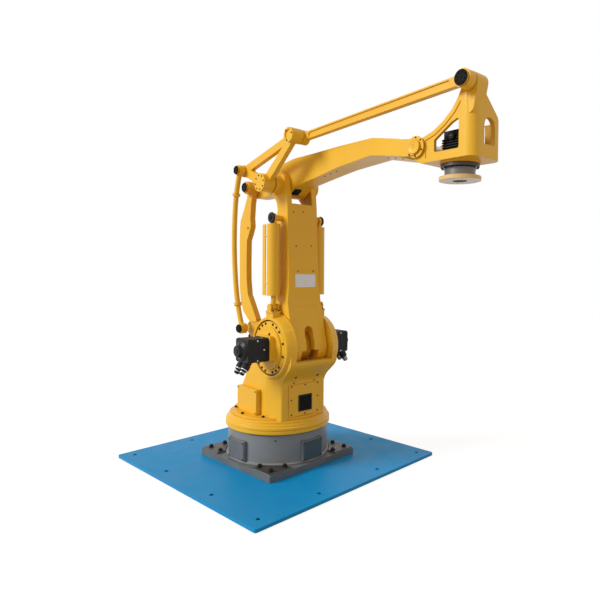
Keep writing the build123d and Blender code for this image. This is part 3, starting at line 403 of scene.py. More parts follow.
@dataclass(frozen=True)
class ArmSpace:
    """The arm's own plane: x ahead, y to the left and z up, in millimetres about the slewing axis."""

    turn: float
    pivots: dict[str, Point]

    @classmethod
    def read(cls, joints: list[dict]) -> "ArmSpace":
        """Works the plane out of the frame's joints.

        Args:
            joints: The joints of the frame.

        Returns:
            The space, with each hinge's place in the plane.
        """
        swing = next(joint for joint in joints if joint["name"] == "lower_arm_swing")
        turn = math.atan2(-swing["axis"][0], swing["axis"][1])
        pivots = {}
        for joint in joints:
            x, y, z = joint["pos_m"]
            pivots[joint["name"]] = ((x * math.cos(turn) + y * math.sin(turn)) / MM, z / MM)
        return cls(turn, pivots)

    def facing(self, x: float, y: float, z: float, axis: Triple) -> Matrix:
        """Returns a placing whose own Z looks along an axis of the arm's space.

        Args:
            x: Distance ahead of the slewing axis.
            y: Distance to the left.
            z: Height.
            axis: The direction, in the arm's space.

        Returns:
            The placing in metres.
        """
        way = Vector(axis).to_track_quat("Z", "Y").to_matrix().to_4x4()
        return Matrix.Rotation(self.turn, 4, "Z") @ shift(x, y, z) @ way


class Shape:
    """Gathers the faces of one piece, in millimetres of a placing, before it becomes a mesh."""

    def __init__(self) -> None:
        """Starts with no faces."""
        self.mesh = bmesh.new()

    def _face(self, verts: list[bmesh.types.BMVert]) -> None:
        """Adds a face unless it is there already."""
        try:
            self.mesh.faces.new(verts)
        except ValueError:
            LOG.debug("a face was there already")

    def lathe(self, place: Matrix, profile: Sequence[Point], segments: int = 24) -> "Shape":
        """Turns a profile about the placing's Z.

        Args:
            place: The placing, in metres.
            profile: Radius and height pairs in millimetres, from bottom to top; a radius of 0 closes an end.
            segments: How many steps make a full turn.

        Returns:
            The shape itself.
        """
        rings = []
        for radius, height in profile:
            if radius <= 0:
                rings.append([self.mesh.verts.new(place @ Vector((0, 0, height * MM)))])
                continue
            ring = []
            for step in range(segments):
                angle = math.tau * step / segments
                spot = Vector((radius * math.cos(angle), radius * math.sin(angle), height)) * MM
                ring.append(self.mesh.verts.new(place @ spot))
            rings.append(ring)
        for low, high in zip(rings, rings[1:]):
            for step in range(segments):
                after = (step + 1) % segments
                if len(low) == 1 and len(high) == 1:
                    continue
                if len(low) == 1:
                    self._face([low[0], high[after], high[step]])
                elif len(high) == 1:
                    self._face([low[step], low[after], high[0]])
                else:
                    self._face([low[step], low[after], high[after], high[step]])
        return self

    def prism(self, place: Matrix, outline: Sequence[Point], low: float, high: float,
              rim: float = 0.0) -> "Shape":
        """Gives a flat outline thickness along the placing's Z.

        Args:
            place: The placing, in metres.
            outline: Corners in millimetres, in turn.
            low: Where the thickness starts.
            high: Where it ends.
            rim: How far the top edge is cut back at 45 degrees.

        Returns:
            The shape itself.
        """
        levels = [(low, 0.0), (high, 0.0)] if rim <= 0 else [(low, 0.0), (high - rim, 0.0), (high, rim)]
        middle = Vector((sum(p[0] for p in outline), sum(p[1] for p in outline))) / len(outline)
        rings = []
        for height, inset in levels:
            ring = []
            for x, y in outline:
                away = Vector((x, y)) - middle
                scale = 1 - inset / max(away.length, 1e-6)
                spot = middle + away * scale
                ring.append(self.mesh.verts.new(place @ (Vector((spot.x, spot.y, height)) * MM)))
            rings.append(ring)
        count = len(outline)
        for first, second in zip(rings, rings[1:]):
            for step in range(count):
                after = (step + 1) % count
                self._face([first[step], first[after], second[after], second[step]])
        self._face(list(reversed(rings[0])))
        self._face(rings[-1])
        return self

    def block(self, place: Matrix, size: Triple, rim: float = 0.0) -> "Shape":
        """Adds a block centred on the placing in X and Y and standing on it.

        Args:
            place: The placing, in metres.
            size: Length, width and height in millimetres.
            rim: How far the top edge is cut back.

        Returns:
            The shape itself.
        """
        a, b, height = size[0] / 2, size[1] / 2, size[2]
        return self.prism(place, [(-a, -b), (a, -b), (a, b), (-a, b)], 0.0, height, rim)

    def copy_node(self, source: bpy.types.Object) -> "Shape":
        """Takes a frame node's faces, with flat areas joined again."""
        self.mesh.from_mesh(source.data)
        self.mesh.transform(source.matrix_world)
        return self.tidy()

    def tidy(self) -> "Shape":
        """Joins doubled points and flat areas."""
        bmesh.ops.remove_doubles(self.mesh, verts=self.mesh.verts, dist=SAME_SPOT)
        bmesh.ops.dissolve_limit(self.mesh, angle_limit=math.radians(FLAT_TURN), verts=self.mesh.verts,
                                 edges=self.mesh.edges)
        return self

    def finished(self, name: str) -> bpy.types.Object:
        """Turns the faces into an object, smooth but for its sharp edges."""
        bmesh.ops.recalc_face_normals(self.mesh, faces=self.mesh.faces)
        for face in self.mesh.faces:
            face.smooth = True
        for edge in self.mesh.edges:
            if len(edge.link_faces) == 2 and edge.calc_face_angle(0.0) > math.radians(SHARP_TURN):
                edge.smooth = False
        data = bpy.data.meshes.new(name)
        self.mesh.to_mesh(data)
        self.mesh.free()
        piece = bpy.data.objects.new(name, data)
        bpy.context.scene.collection.objects.link(piece)
        return piece


@dataclass(frozen=True)
class Fastener:
    """A cap screw or a hexagon bolt, with its head's sizes in millimetres."""

    head_r: float
    head_h: float
    socket_r: float = 0.0
    washer_r: float = 0.0
    sides: int = 14

    def add(self, shape: Shape, place: Matrix) -> None:
        """Adds one fastener that stands on the placing.

        Args:
            shape: The shape that gathers them.
            place: The placing of the seat, in metres.
        """
        low = 0.0
        if self.washer_r > 0:
            low = self.head_h * 0.22
            shape.lathe(place, [(0, -SUNK), (self.washer_r, -SUNK), (self.washer_r, low * 0.8),
                                (self.washer_r * 0.94, low), (0, low)], 16)
        rim = self.head_r * 0.14
        top = low + self.head_h
        profile = [(0, low - SUNK), (self.head_r, low - SUNK), (self.head_r, top - rim),
                   (self.head_r - rim, top)]
        if self.socket_r > 0:
            profile += [(self.socket_r, top), (self.socket_r, top - self.head_h * 0.55),
                        (0, top - self.head_h * 0.6)]
        else:
            profile += [(0, top)]
        shape.lathe(place, profile, self.sides)


class Workshop:
    """Gives every assembly the frame, the arm's space and the paint shop."""

    def __init__(self, frame: dict) -> None:
        """Reads the frame.
        """
        self.nodes: dict[str, bpy.types.Object] = frame["nodes"]
        self.space = ArmSpace.read(frame["record"]["behaviour"]["joints"])
        self.paint = PaintShop()
        self.done: set[str] = set()
        self.forms: dict[str, BVHTree] = {}

    def pivot(self, joint: str) -> Point:
        """Returns a hinge's place in the arm's plane."""
        return self.space.pivots[joint]

    def extent(self, node: str) -> tuple[Vector, Vector]:
        """Measures a node in the arm's space.

        Args:
            node: The node's name.

        Returns:
            Its lowest and highest corner in millimetres.
        """
        piece = self.nodes[node]
        turn = Matrix.Rotation(-self.space.turn, 4, "Z") @ piece.matrix_world
        spots = [turn @ vertex.co / MM for vertex in piece.data.vertices]
        low = Vector([min(spot[axis] for spot in spots) for axis in range(3)])
        high = Vector([max(spot[axis] for spot in spots) for axis in range(3)])
        return low, high

    def outside(self, node: str, side: int) -> float:
        """Returns how far to the left the outer face of a node on the RIGHT or LEFT lies."""
        low, high = self.extent(node)
        return low.y if side < 0 else high.y

    def form(self, node: str) -> BVHTree:
        """Returns the search tree of a node's faces, built once."""
        if node not in self.forms:
            piece = self.nodes[node]
            verts = [piece.matrix_world @ vertex.co for vertex in piece.data.vertices]
            faces = [tuple(face.vertices) for face in piece.data.polygons]
            self.forms[node] = BVHTree.FromPolygons(verts, faces)
        return self.forms[node]

    def seat(self, nodes: str | tuple[str, ...], spot: Triple, way: Triple) -> Matrix | None:
        """Finds where a line meets the first face of some nodes.

        Args:
            nodes: The node or nodes that may be met.
            spot: Where the line starts, in the arm's space.
            way: Where it runs to, in the arm's space.

        Returns:
            The placing on that face with its Z along the normal, or None where nothing is met.
        """
        turn = Matrix.Rotation(self.space.turn, 4, "Z")
        start = turn @ (Vector(spot) * MM)
        ahead = turn.to_3x3() @ Vector(way).normalized()
        names = (nodes,) if isinstance(nodes, str) else nodes
        hits = [self.form(node).ray_cast(start, ahead) for node in names]
        hits = [hit for hit in hits if hit[0] is not None]
        if not hits:
            return None
        place, normal = min(hits, key=lambda hit: hit[3])[:2]
        if normal.dot(ahead) > 0:
            normal = -normal
        own = turn.to_3x3().inverted() @ normal
        at = turn.inverted() @ place / MM
        return self.space.facing(at.x, at.y, at.z, tuple(own))

    def side_seat(self, node: str, side: int, x: float, z: float) -> Matrix | None:
        """Finds the seat that a level line from the RIGHT or LEFT meets on a node."""
        return self.seat(node, (x, side * FAR, z), (0, -side, 0))

    def front_seat(self, nodes: str | tuple[str, ...], y: float, z: float) -> Matrix | None:
        """Finds the seat that a level line from the front meets on nodes."""
        return self.seat(nodes, (FAR, y, z), (-1, 0, 0))

    def fit(self, piece: bpy.types.Object, body: str, finish: Finish) -> None:
        """Dresses a new piece and makes it ride a body.

        Args:
            piece: The new piece.
            body: The body's name.
            finish: Its finish.
        """
        self.paint.dress(piece, finish)
        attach(piece, body)

    def fasten(self, name: str, body: str, kind: Fastener, places: list[Matrix | None],
               finish: Finish = Finish.OXIDE) -> None:
        """Sets fasteners of one kind as one piece.

        Args:
            name: The piece's name.
            body: The body that it rides.
            kind: The fastener.
            places: Where they stand; a place that is None is left out.
            finish: Their finish.
        """
        shape = Shape()
        for place in places:
            if place is not None:
                kind.add(shape, place)
        self.fit(shape.finished(name), body, finish)

    def soften(self, nodes: str | tuple[str, ...], body: str, finish: Finish,
               width: float) -> bpy.types.Object:
        """Replaces nodes by the same form, as one casting with rounded edges.

        Args:
            nodes: One node's name, or the names of nodes that are one casting.
            body: The body that they belong to.
            finish: Their finish.
            width: The rounding in millimetres.

        Returns:
            The new piece.
        """
        names = (nodes,) if isinstance(nodes, str) else nodes
        piece = Shape().copy_node(self.nodes[names[0]]).finished(f"{names[0]}_cast")
        if len(names) > 1:
            self._fuse(piece, names[1:])
        bevel = piece.modifiers.new("rounded_edges", "BEVEL")
        bevel.width = width * MM
        bevel.segments = 2
        bevel.limit_method = "ANGLE"
        bevel.angle_limit = math.radians(ROUNDED_TURN)
        bevel.harden_normals = True
        bevel.use_clamp_overlap = True
        self.fit(piece, body, finish)
        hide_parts(*names)
        self.done.update(names)
        return piece

    def _fuse(self, piece: bpy.types.Object, names: tuple[str, ...]) -> None:
        """Joins further nodes to a piece, without the faces where they touch.

        Args:
            piece: The piece that grows.
            names: The nodes that are joined to it.
        """
        others = [Shape().copy_node(self.nodes[name]).finished(f"{name}_blank") for name in names]
        for other in others:
            union = piece.modifiers.new("union", "BOOLEAN")
            union.operation = "UNION"
            union.solver = "EXACT"
            union.object = other
        graph = bpy.context.evaluated_depsgraph_get()
        joined = bpy.data.meshes.new_from_object(piece.evaluated_get(graph))
        piece.modifiers.clear()
        shape = Shape()
        shape.mesh.from_mesh(joined)
        shape.tidy()
        flaps = [face for face in shape.mesh.faces if any(len(edge.link_faces) == 1 for edge in face.edges)]
        bmesh.ops.delete(shape.mesh, geom=flaps, context="FACES")
        shape.mesh.to_mesh(piece.data)
        shape.mesh.free()
        for other in others:
            bpy.data.objects.remove(other)

    def second_finish(self, piece: bpy.types.Object, finish: Finish,
                      picks: Callable[[Vector, Vector], bool]) -> None:
        """Gives some faces of a piece another finish.

        Args:
            piece: The piece.
            finish: The finish of those faces.
            picks: Tells from a face's middle, in millimetres of the arm's space, and its normal if it is one.
        """
        turn = Matrix.Rotation(-self.space.turn, 4, "Z")
        piece.data.materials.append(self.paint.materials[finish])
        slot = len(piece.data.materials) - 1
        for face in piece.data.polygons:
            if picks(turn @ face.center / MM, turn.to_3x3() @ face.normal):
                face.material_index = slot

    def paint_node(self, node: str, finish: Finish) -> None:
        """Gives a node that is kept as it is its finish."""
        self.paint.dress(self.nodes[node], finish)
        self.done.add(node)


# Turned profiles, as pairs of radius and height in millimetres above their seats.
ENCODER_CAP: tuple[Point, ...] = ((0, 6.0), (20, 6.0), (20, 9.5), (17, 10.5), (0, 10.5))
CONNECTOR: tuple[Point, ...] = (
    (0, 0), (26, 0), (26, 24), (31, 28), (31, 56), (26, 60), (26, 70), (20, 78), (20, 98), (14, 104),
    (0, 104),
)
SLEEVES: tuple[tuple[Point, ...], ...] = (
    ((0, 61), (27, 61), (27, 68), (0, 68)),
    ((0, 82), (21, 82), (21, 89), (0, 89)),
)
SIDE_PLUG: tuple[Point, ...] = ((0, -0.5), (7, -0.5), (7, 2.0), (5.5, 3.0), (4, 3.0), (3, 1.5), (0, 1.5))
GRIP_RIB: tuple[Point, ...] = ((0, 0), (4.0, 0), (4.0, 11.0), (2.5, 12.0), (0, 12.0))
WRIST_PLUG: tuple[Point, ...] = ((0, 0), (15, 0), (15, 14), (18, 15), (18, 24), (12, 27), (0, 27))


@dataclass
class FloorMount:
    """The blue floor plate, the grey foot and drum, and what is bolted to them."""

    hole_x: Point = (784.0, 294.0)
    hole_y: Point = (800.0, 298.0)
    anchor_drop: float = 13.0
    pad_far: float = 373.0
    pad_near: float = 246.0
    lid_inset: float = 14.0
    lid_deep: float = 12.0
    pad_rise: float = 4.0
    drum_screw_turn: float = -38.0
    drum_screw_rise: float = 32.0
    anchor: Fastener = field(default_factory=lambda: Fastener(13.5, 8.0, socket_r=6.0))
    pad_bolt: Fastener = field(default_factory=lambda: Fastener(15.0, 16.0, socket_r=7.0, washer_r=21.0))
    lid_screw: Fastener = field(default_factory=lambda: Fastener(5.5, 3.5, socket_r=2.4))

    def build(self, shop: Workshop) -> None:
        """Builds and dresses the floor mount.

        Args:
            shop: The workshop.
        """
        shop.soften("floor_plate", "base", Finish.BLUE, 1.6)
        shop.soften("pedestal_drum", "base", Finish.DRUM, 3.0)
        shop.soften("cable_box_side", "base", Finish.GREY, 2.5)
        foot = shop.soften("base_plate", "base", Finish.GREY, 3.0)
        pads = shop.extent("base_plate")[1].z - self.pad_rise / 2
        shop.second_finish(foot, Finish.GUNMETAL, lambda spot, normal: normal.z > FACING and spot.z > pads)
        front = shop.soften("cable_box_front", "base", Finish.GREY, 2.5)
        lid = shop.extent("cable_box_front")[1].x - self.lid_deep
        shop.second_finish(front, Finish.SLATE, lambda spot, normal: normal.x > FACING and spot.x > lid)
        self._anchors(shop)
        self._pad_bolts(shop)
        self._lids(shop)

    def _anchors(self, shop: Workshop) -> None:
        """Sets the anchor screws into the floor plate's holes."""
        out_x, in_x = self.hole_x
        out_y, in_y = self.hole_y
        spots = [(x, y) for x in (-out_x, out_x) for y in (-out_y, out_y)]
        spots += [(x, y) for x in (-in_x, in_x) for y in (-out_y, out_y)]
        spots += [(x, y) for x in (-out_x, out_x) for y in (-in_y, in_y)]
        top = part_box("floor_plate")[1][2] / MM - self.anchor_drop
        shop.fasten("floor_anchor_screws", "base", self.anchor, [shift(x, y, top) for x, y in spots])

    def _pad_bolts(self, shop: Workshop) -> None:
        """Sets three bolts on each pad of the foot."""
        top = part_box("base_plate")[1][2] / MM
        far, near = self.pad_far, self.pad_near
        spots = [(sx * x, sy * y) for sx in (-1, 1) for sy in (-1, 1)
                 for x, y in ((far, far), (far, near), (near, far))]
        shop.fasten("foot_pad_bolts", "base", self.pad_bolt, [shift(x, y, top) for x, y in spots])

    def _lids(self, shop: Workshop) -> None:
        """Sets the screws of the two cable box lids and one on the drum."""
        low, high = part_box("cable_box_front")
        face = high[0] / MM
        half = (high[1] - low[1]) / MM / 2 - self.lid_inset
        rows = (low[2] / MM + self.lid_inset, high[2] / MM - self.lid_inset)
        places = []
        for turn in (0.0, -90.0):
            side = Matrix.Rotation(math.radians(turn), 4, "Z")
            places += [side @ shift(face, y, z) @ Matrix.Rotation(math.pi / 2, 4, "Y")
                       for y in (-half, half) for z in rows]
        x, y = polar(1.0, self.drum_screw_turn)
        spot = (FAR * x, FAR * y, rows[1] + self.drum_screw_rise)
        places.append(shop.seat("pedestal_drum", spot, (-x, -y, 0)))
        shop.fasten("cable_box_screws", "base", self.lid_screw, places)


@dataclass
class Swivel:
    """The slewing ring, the swivel casting with its cheeks, covers and shoulder drives."""

    ring_angles: tuple[float, ...] = (-126.0, -89.0, -54.4, -15.0, 18.0, 57.0, 91.0, 128.0, 165.0, -160.0)
    ring_bolt_r: float = 332.0
    ring_front_r: float = 368.0
    flange_bolt_r: float = 181.0
    flange_angles: tuple[float, ...] = (15.0, 45.0, 60.0, 75.0, 105.0, 120.0, 135.0, 165.0)
    cover_inset: float = 12.0
    ring_front_half: float = 25.0
    ring_above: float = 700.0
    clevis_above: float = 1400.0
    clevis_inset: Point = (12.0, 14.0)
    panel_spots: tuple[Point, ...] = (
        (-118, 630), (6, 630), (125, 630), (-95, 655), (95, 655), (-121, 531), (126, 531), (-120, 420),
        (6, 417), (124, 420),
    )
    vent_middle: Point = (5.5, 497.5)
    vent_half: Point = (62.0, 61.0)
    vent_rim: float = 8.0
    vent_bar: Point = (6.0, 1.5)
    louvre: Triple = (3.0, 5.0, 0.8)
    louvre_lean: float = 0.45
    louvres: int = 11
    motor_screw: float = 68.0
    motor_screw_reach: float = 164.0
    motor_eye: Point = (48.0, 40.0)
    motor_plug: Point = (42.0, 4.0)
    motor_side_spots: tuple[Point, ...] = ((97.0, 70.0), (97.0, -70.0))
    connector_leans: Point = (-34.0, 34.0)
    connector_seat: Point = (138.0, 4.0)
    connector_way: Point = (0.6, -0.8)
    # the dark ring that paints the shade in the gap round each shoulder reducer: its radii, its drop behind
    # the cheek's face and its thickness
    painted_gap_shade_radii: Point = (197.5, 205.0)
    painted_gap_shade_drop: float = 12.0
    painted_gap_shade_thick: float = 5.0
    reducer_plug: Point = (241.0, 1021.0)
    band_rise: float = 1.6
    band_corner: float = 14.0
    motor_bands: tuple[Point, ...] = (
        (0.0, 10.0), (24.0, 3.0), (60.0, 2.0), (96.0, 2.0), (132.0, 3.0), (150.0, 14.0),
    )
    ring_bolt: Fastener = field(default_factory=lambda: Fastener(11.0, 11.0, socket_r=5.5))
    flange_bolt: Fastener = field(default_factory=lambda: Fastener(9.5, 5.0, socket_r=5.0))
    panel_screw: Fastener = field(default_factory=lambda: Fastener(5.5, 3.5, socket_r=2.4))
    motor_bolt: Fastener = field(default_factory=lambda: Fastener(6.0, 3.0, socket_r=2.6))
    clevis_bolt: Fastener = field(default_factory=lambda: Fastener(8.0, 6.0, socket_r=4.0))

    def build(self, shop: Workshop) -> None:
        """Builds and dresses the swivel.

        Args:
            shop: The workshop.
        """
        casting = ("swivel_casting", "swivel_cheek_right", "swivel_cheek_left")
        shop.soften(casting, "swivel", Finish.YELLOW, 6.0)
        for node, width in (("slew_ring", 4.0), ("swivel_side_cover", 4.0), ("swivel_front_panel", 2.0),
                            ("shoulder_reducer_right", 2.0), ("shoulder_reducer_left", 2.0),
                            ("balancer_clevis_right", 3.0), ("balancer_clevis_left", 3.0)):
            shop.soften(node, "swivel", Finish.YELLOW, width)
        shop.soften("level_rod_pin", "swivel", Finish.OXIDE, 1.5)
        self._ring_bolts(shop)
        self._flange_bolts(shop)
        self._covers(shop)
        self._grille(shop)
        self._motors(shop)
        self._clevis_bolts(shop)

    def _ring_bolts(self, shop: Workshop) -> None:
        """Sets the cap screws on the slewing ring."""
        places = []
        for turn in self.ring_angles:
            radius = self.ring_front_r if abs(turn) < self.ring_front_half else self.ring_bolt_r
            spot = (*polar(radius, turn), self.ring_above)
            places.append(shop.seat(("slew_ring", "swivel_casting"), spot, (0, 0, -1)))
        shop.fasten("slew_ring_screws", "swivel", self.ring_bolt, places)

    def _flange_bolts(self, shop: Workshop) -> None:
        """Sets the screws round both shoulder reducers."""
        x0, z0 = shop.pivot("lower_arm_swing")
        places = []
        for side, name in SIDES:
            node = f"shoulder_reducer_{name}"
            for turn in self.flange_angles + tuple(-turn for turn in self.flange_angles):
                x, z = polar(self.flange_bolt_r, turn)
                places.append(shop.side_seat(node, side, x0 + x, z0 + z))
            places.append(shop.side_seat(node, side, *self.reducer_plug))
            # a dark ring in the gap round the reducer is painted shade
            self._painted_gap_shade(shop, side, name)
        shop.fasten("shoulder_flange_screws", "swivel", self.flange_bolt, places)

    def _painted_gap_shade(self, shop: Workshop, side: int, name: str) -> None:
        """Lays a dark rubber-finished ring in the gap between a shoulder reducer and its cheek, as painted
        shade in that gap.

        Args:
            shop: The workshop.
            side: RIGHT or LEFT.
            name: The side's name.
        """
        x0, z0 = shop.pivot("lower_arm_swing")
        near, far = self.painted_gap_shade_radii
        low = -self.painted_gap_shade_thick
        face = shop.outside(f"swivel_cheek_{name}", side) - side * self.painted_gap_shade_drop
        place = shop.space.facing(x0, face, z0, (0, side, 0))
        ring = Shape().lathe(place, [(near, low), (far, low), (far, 0.0), (near, 0.0), (near, low)], 64)
        # the ring's dark rubber finish paints the gap's shade
        shop.fit(ring.finished(f"shoulder_reducer_{name}_painted_gap_shade"), "swivel", Finish.RUBBER)

    def _covers(self, shop: Workshop) -> None:
        """Sets the screws of the side cover and the front panel."""
        low, high = shop.extent("swivel_side_cover")
        places = [shop.space.facing(x, low.y, z, (0, -1, 0))
                  for x in (low.x + self.cover_inset, high.x - self.cover_inset)
                  for z in (low.z + self.cover_inset, high.z - self.cover_inset)]
        nodes = ("swivel_front_panel", "swivel_casting")
        places += [shop.front_seat(nodes, y, z) for y, z in self.panel_spots]
        shop.fasten("swivel_cover_screws", "swivel", self.panel_screw, places)

    def _grille(self, shop: Workshop) -> None:
        """Builds the louvred vent in the front panel, over a dark plate that paints the shade behind the
        louvres.
        """
        face = shop.extent("swivel_front_panel")[1].x
        y, z = self.vent_middle
        wide, tall = self.vent_half
        rim = self.vent_rim
        inner = 2 * (wide - rim)
        bar, cut = self.vent_bar
        frame = Shape()
        for side in (-1, 1):
            upright = shop.space.facing(face, y + side * (wide - rim / 2), z, (1, 0, 0))
            frame.block(upright, (rim, 2 * tall, bar), cut)
            level = shop.space.facing(face, y, z + side * (tall - rim / 2), (1, 0, 0))
            frame.block(level, (inner, rim, bar), cut)
        pitch = 2 * (tall - rim) / self.louvres
        thick, deep, edge = self.louvre
        for step in range(self.louvres):
            height = z - tall + rim + pitch * (step + 0.5)
            place = shop.space.facing(face + 0.5, y, height, (1, 0, self.louvre_lean))
            frame.block(place, (inner, thick, deep), edge)
        shop.fit(frame.finished("front_vent_grille"), "swivel", Finish.BLACK)
        # a thin dark plate behind the louvres is painted shade inside the vent
        back = shop.space.facing(face - 0.3, y, z, (1, 0, 0))
        plate = Shape().block(back, (2 * wide - 2, 2 * tall - 2, 0.8))
        shop.fit(plate.finished("front_vent_painted_shade_plate"), "swivel", Finish.SHADOW)

    def _motors(self, shop: Workshop) -> None:
        """Dresses the two shoulder motors with flanges, screws, encoder caps and connectors."""
        x0, z0 = shop.pivot("lower_arm_swing")
        for side, name in SIDES:
            node = f"shoulder_motor_{name}"
            shop.soften(node, "swivel", Finish.BLACK, 3.0)
            low, high = shop.extent(node)
            start = shop.outside(f"shoulder_reducer_{name}", side)
            half = (high.z - low.z) / 2
            seat = (x0, start, z0)
            out = (0, side, 0)
            bands = Shape()
            for near, thick in self.motor_bands:
                ring = shop.space.facing(x0, start + side * near, z0, out)
                square = self.square(half + self.band_rise, self.band_corner)
                bands.prism(ring, square, 0.0, thick, 1.5)
            bands.lathe(shop.space.facing(x0, shop.outside(node, side) - side * 8.0, z0, out), ENCODER_CAP)
            for place in self._connector_places(shop, side, seat, half):
                bands.lathe(place, CONNECTOR)
            shop.fit(bands.finished(f"{node}_trim"), "swivel", Finish.BLACK)
            reach = self.motor_screw
            places = [shop.space.facing(x0 + dx, start + side * self.motor_screw_reach, z0 + dz, out)
                      for dx in (-reach, reach) for dz in (-reach, reach)]
            wide, away = self.motor_eye
            places += [shop.space.facing(x0 + dx, start + side * away, z0 + half, (0, 0, 1))
                       for dx in (-wide, wide)]
            for way in (-1, 1):
                places += [shop.space.facing(x0 + way * half, start + side * away, z0 + up, (way, 0, 0))
                           for away, up in self.motor_side_spots]
            shop.fasten(f"{node}_screws", "swivel", self.motor_bolt, places, Finish.STEEL)
            self._fittings(shop, node, side, seat, half)

    def _connector_places(self, shop: Workshop, side: int, seat: Triple, half: float) -> list[Matrix]:
        """Returns the placings of a motor's two connectors.

        Args:
            shop: The workshop.
            side: RIGHT or LEFT.
            seat: The middle of the motor's flange, in the arm's space.
            half: Half the motor's width.

        Returns:
            The placings, each looking out and down.
        """
        x0, start, z0 = seat
        away, rise = self.connector_seat
        out, down = self.connector_way
        return [shop.space.facing(x0 + lean, start + side * away, z0 - half + rise, (0, side * out, down))
                for lean in self.connector_leans]

    def _fittings(self, shop: Workshop, node: str, side: int, seat: Triple, half: float) -> None:
        """Adds a motor's two side plugs and the pale sleeves of its connectors.

        Args:
            shop: The workshop.
            node: The motor's node.
            side: RIGHT or LEFT.
            seat: The middle of the motor's flange, in the arm's space.
            half: Half the motor's width.
        """
        x0, start, z0 = seat
        away, rise = self.motor_plug
        metal = Shape()
        for way in (-1, 1):
            plug = shop.space.facing(x0 + way * half, start + side * away, z0 + rise, (way, 0, 0))
            metal.lathe(plug, SIDE_PLUG, 20)
        for place in self._connector_places(shop, side, seat, half):
            for sleeve in SLEEVES:
                metal.lathe(place, sleeve)
        shop.fit(metal.finished(f"{node}_fittings"), "swivel", Finish.STEEL)

    @staticmethod
    def square(half: float, corner: float) -> list[Point]:
        """Returns a square outline with cut corners."""
        cut = half - corner
        return [(half, -cut), (half, cut), (cut, half), (-cut, half), (-half, cut), (-half, -cut),
                (-cut, -half), (cut, -half)]

    def _clevis_bolts(self, shop: Workshop) -> None:
        """Sets the bolts on the feet of the balancers' clevises."""
        inset_x, inset_y = self.clevis_inset
        for _, name in SIDES:
            node = f"balancer_clevis_{name}"
            low, high = shop.extent(node)
            places = [shop.seat(node, (x, y, self.clevis_above), (0, 0, -1))
                      for x in (low.x + inset_x, high.x - inset_x)
                      for y in (low.y + inset_y, high.y - inset_y)]
            shop.fasten(f"{node}_bolts", "swivel", self.clevis_bolt, places)


@dataclass
class LowerArm:
    """The lower arm with its hubs and fork, the balancers and the marks on its front face."""

    screw_spots: tuple[Point, ...] = (
        (-84, 1925), (5, 1932), (-67, 1672), (76, 1677), (-55, 1485), (88, 1485),
    )
    plate_middle: Point = (13.0, 1413.0)
    plate_size: Triple = (190.0, 98.0, 1.4)
    rivet_inset: float = 6.0
    knob_deep: float = 15.0
    grip_deep: float = 13.0
    grip_ribs: int = 14
    screw: Fastener = field(default_factory=lambda: Fastener(5.0, 3.0, socket_r=2.2))
    rivet: Fastener = field(default_factory=lambda: Fastener(3.0, 1.6))

    def build(self, shop: Workshop) -> None:
        """Builds and dresses the lower arm.

        Args:
            shop: The workshop.
        """
        casting = ("lower_arm", "lower_arm_hub_right", "lower_arm_hub_left", "lower_arm_fork_right",
                   "lower_arm_fork_left")
        shop.soften(casting, "lower_arm", Finish.YELLOW, 6.0)
        shop.soften("lower_arm_apron", "lower_arm", Finish.YELLOW, 5.0)
        for side, name in SIDES:
            self._pin(shop, name)
            shop.soften(f"balancer_tube_{name}", f"tube_{name}", Finish.YELLOW, 2.0)
            shop.soften(f"balancer_rod_{name}", f"rod_{name}", Finish.YELLOW, 1.0)
            self._knob(shop, side, name)
        places = [shop.front_seat("lower_arm", y, z) for y, z in self.screw_spots]
        shop.fasten("lower_arm_front_screws", "lower_arm", self.screw, places)
        self._plate(shop)

    def _pin(self, shop: Workshop, name: str) -> None:
        """Paints a balancer pin's stem as the arm and its knob black."""
        pin = shop.soften(f"balancer_pin_{name}", "lower_arm", Finish.YELLOW, 2.0)
        low, high = shop.extent(f"balancer_pin_{name}")
        face = max(abs(low.y), abs(high.y)) - self.knob_deep
        shop.second_finish(pin, Finish.OXIDE, lambda spot, normal: abs(spot.y) > face)

    def _knob(self, shop: Workshop, side: int, name: str) -> None:
        """Adds the ribbed grip round a balancer pin's head.

        Args:
            shop: The workshop.
            side: RIGHT or LEFT.
            name: The side's name.
        """
        low, high = shop.extent(f"balancer_pin_{name}")
        x, z = shop.pivot(f"balancer_tube_{name}_swing")
        face = shop.outside(f"balancer_pin_{name}", side)
        radius = (high.z - low.z) / 2
        grip = Shape()
        place = shop.space.facing(x, face - side * self.grip_deep, z, (0, side, 0))
        for spot in ring_spots(self.grip_ribs, radius - 1.5):
            grip.lathe(place @ shift(*spot, 0), GRIP_RIB, 8)
        grip.lathe(place, [(0, 12.0), (radius * 0.55, 12.0), (radius * 0.5, 15.0), (radius * 0.2, 16.0),
                           (0, 16.0)], 20)
        shop.fit(grip.finished(f"balancer_knob_{name}_grip"), "lower_arm", Finish.RUBBER)

    def _plate(self, shop: Workshop) -> None:
        """Adds the bare plate on the arm's front face, with a rivet in each corner."""
        place = shop.front_seat("lower_arm", *self.plate_middle)
        if place is None:
            return
        wide, tall, thick = self.plate_size
        plate = Shape().block(place, self.plate_size, 0.5)
        shop.fit(plate.finished("lower_arm_bare_plate"), "lower_arm", Finish.LABEL)
        x, y = wide / 2 - self.rivet_inset, tall / 2 - self.rivet_inset
        corners = [place @ shift(sx * x, sy * y, thick) for sx in (-1, 1) for sy in (-1, 1)]
        shop.fasten("lower_arm_plate_rivets", "lower_arm", self.rivet, corners, Finish.STEEL)


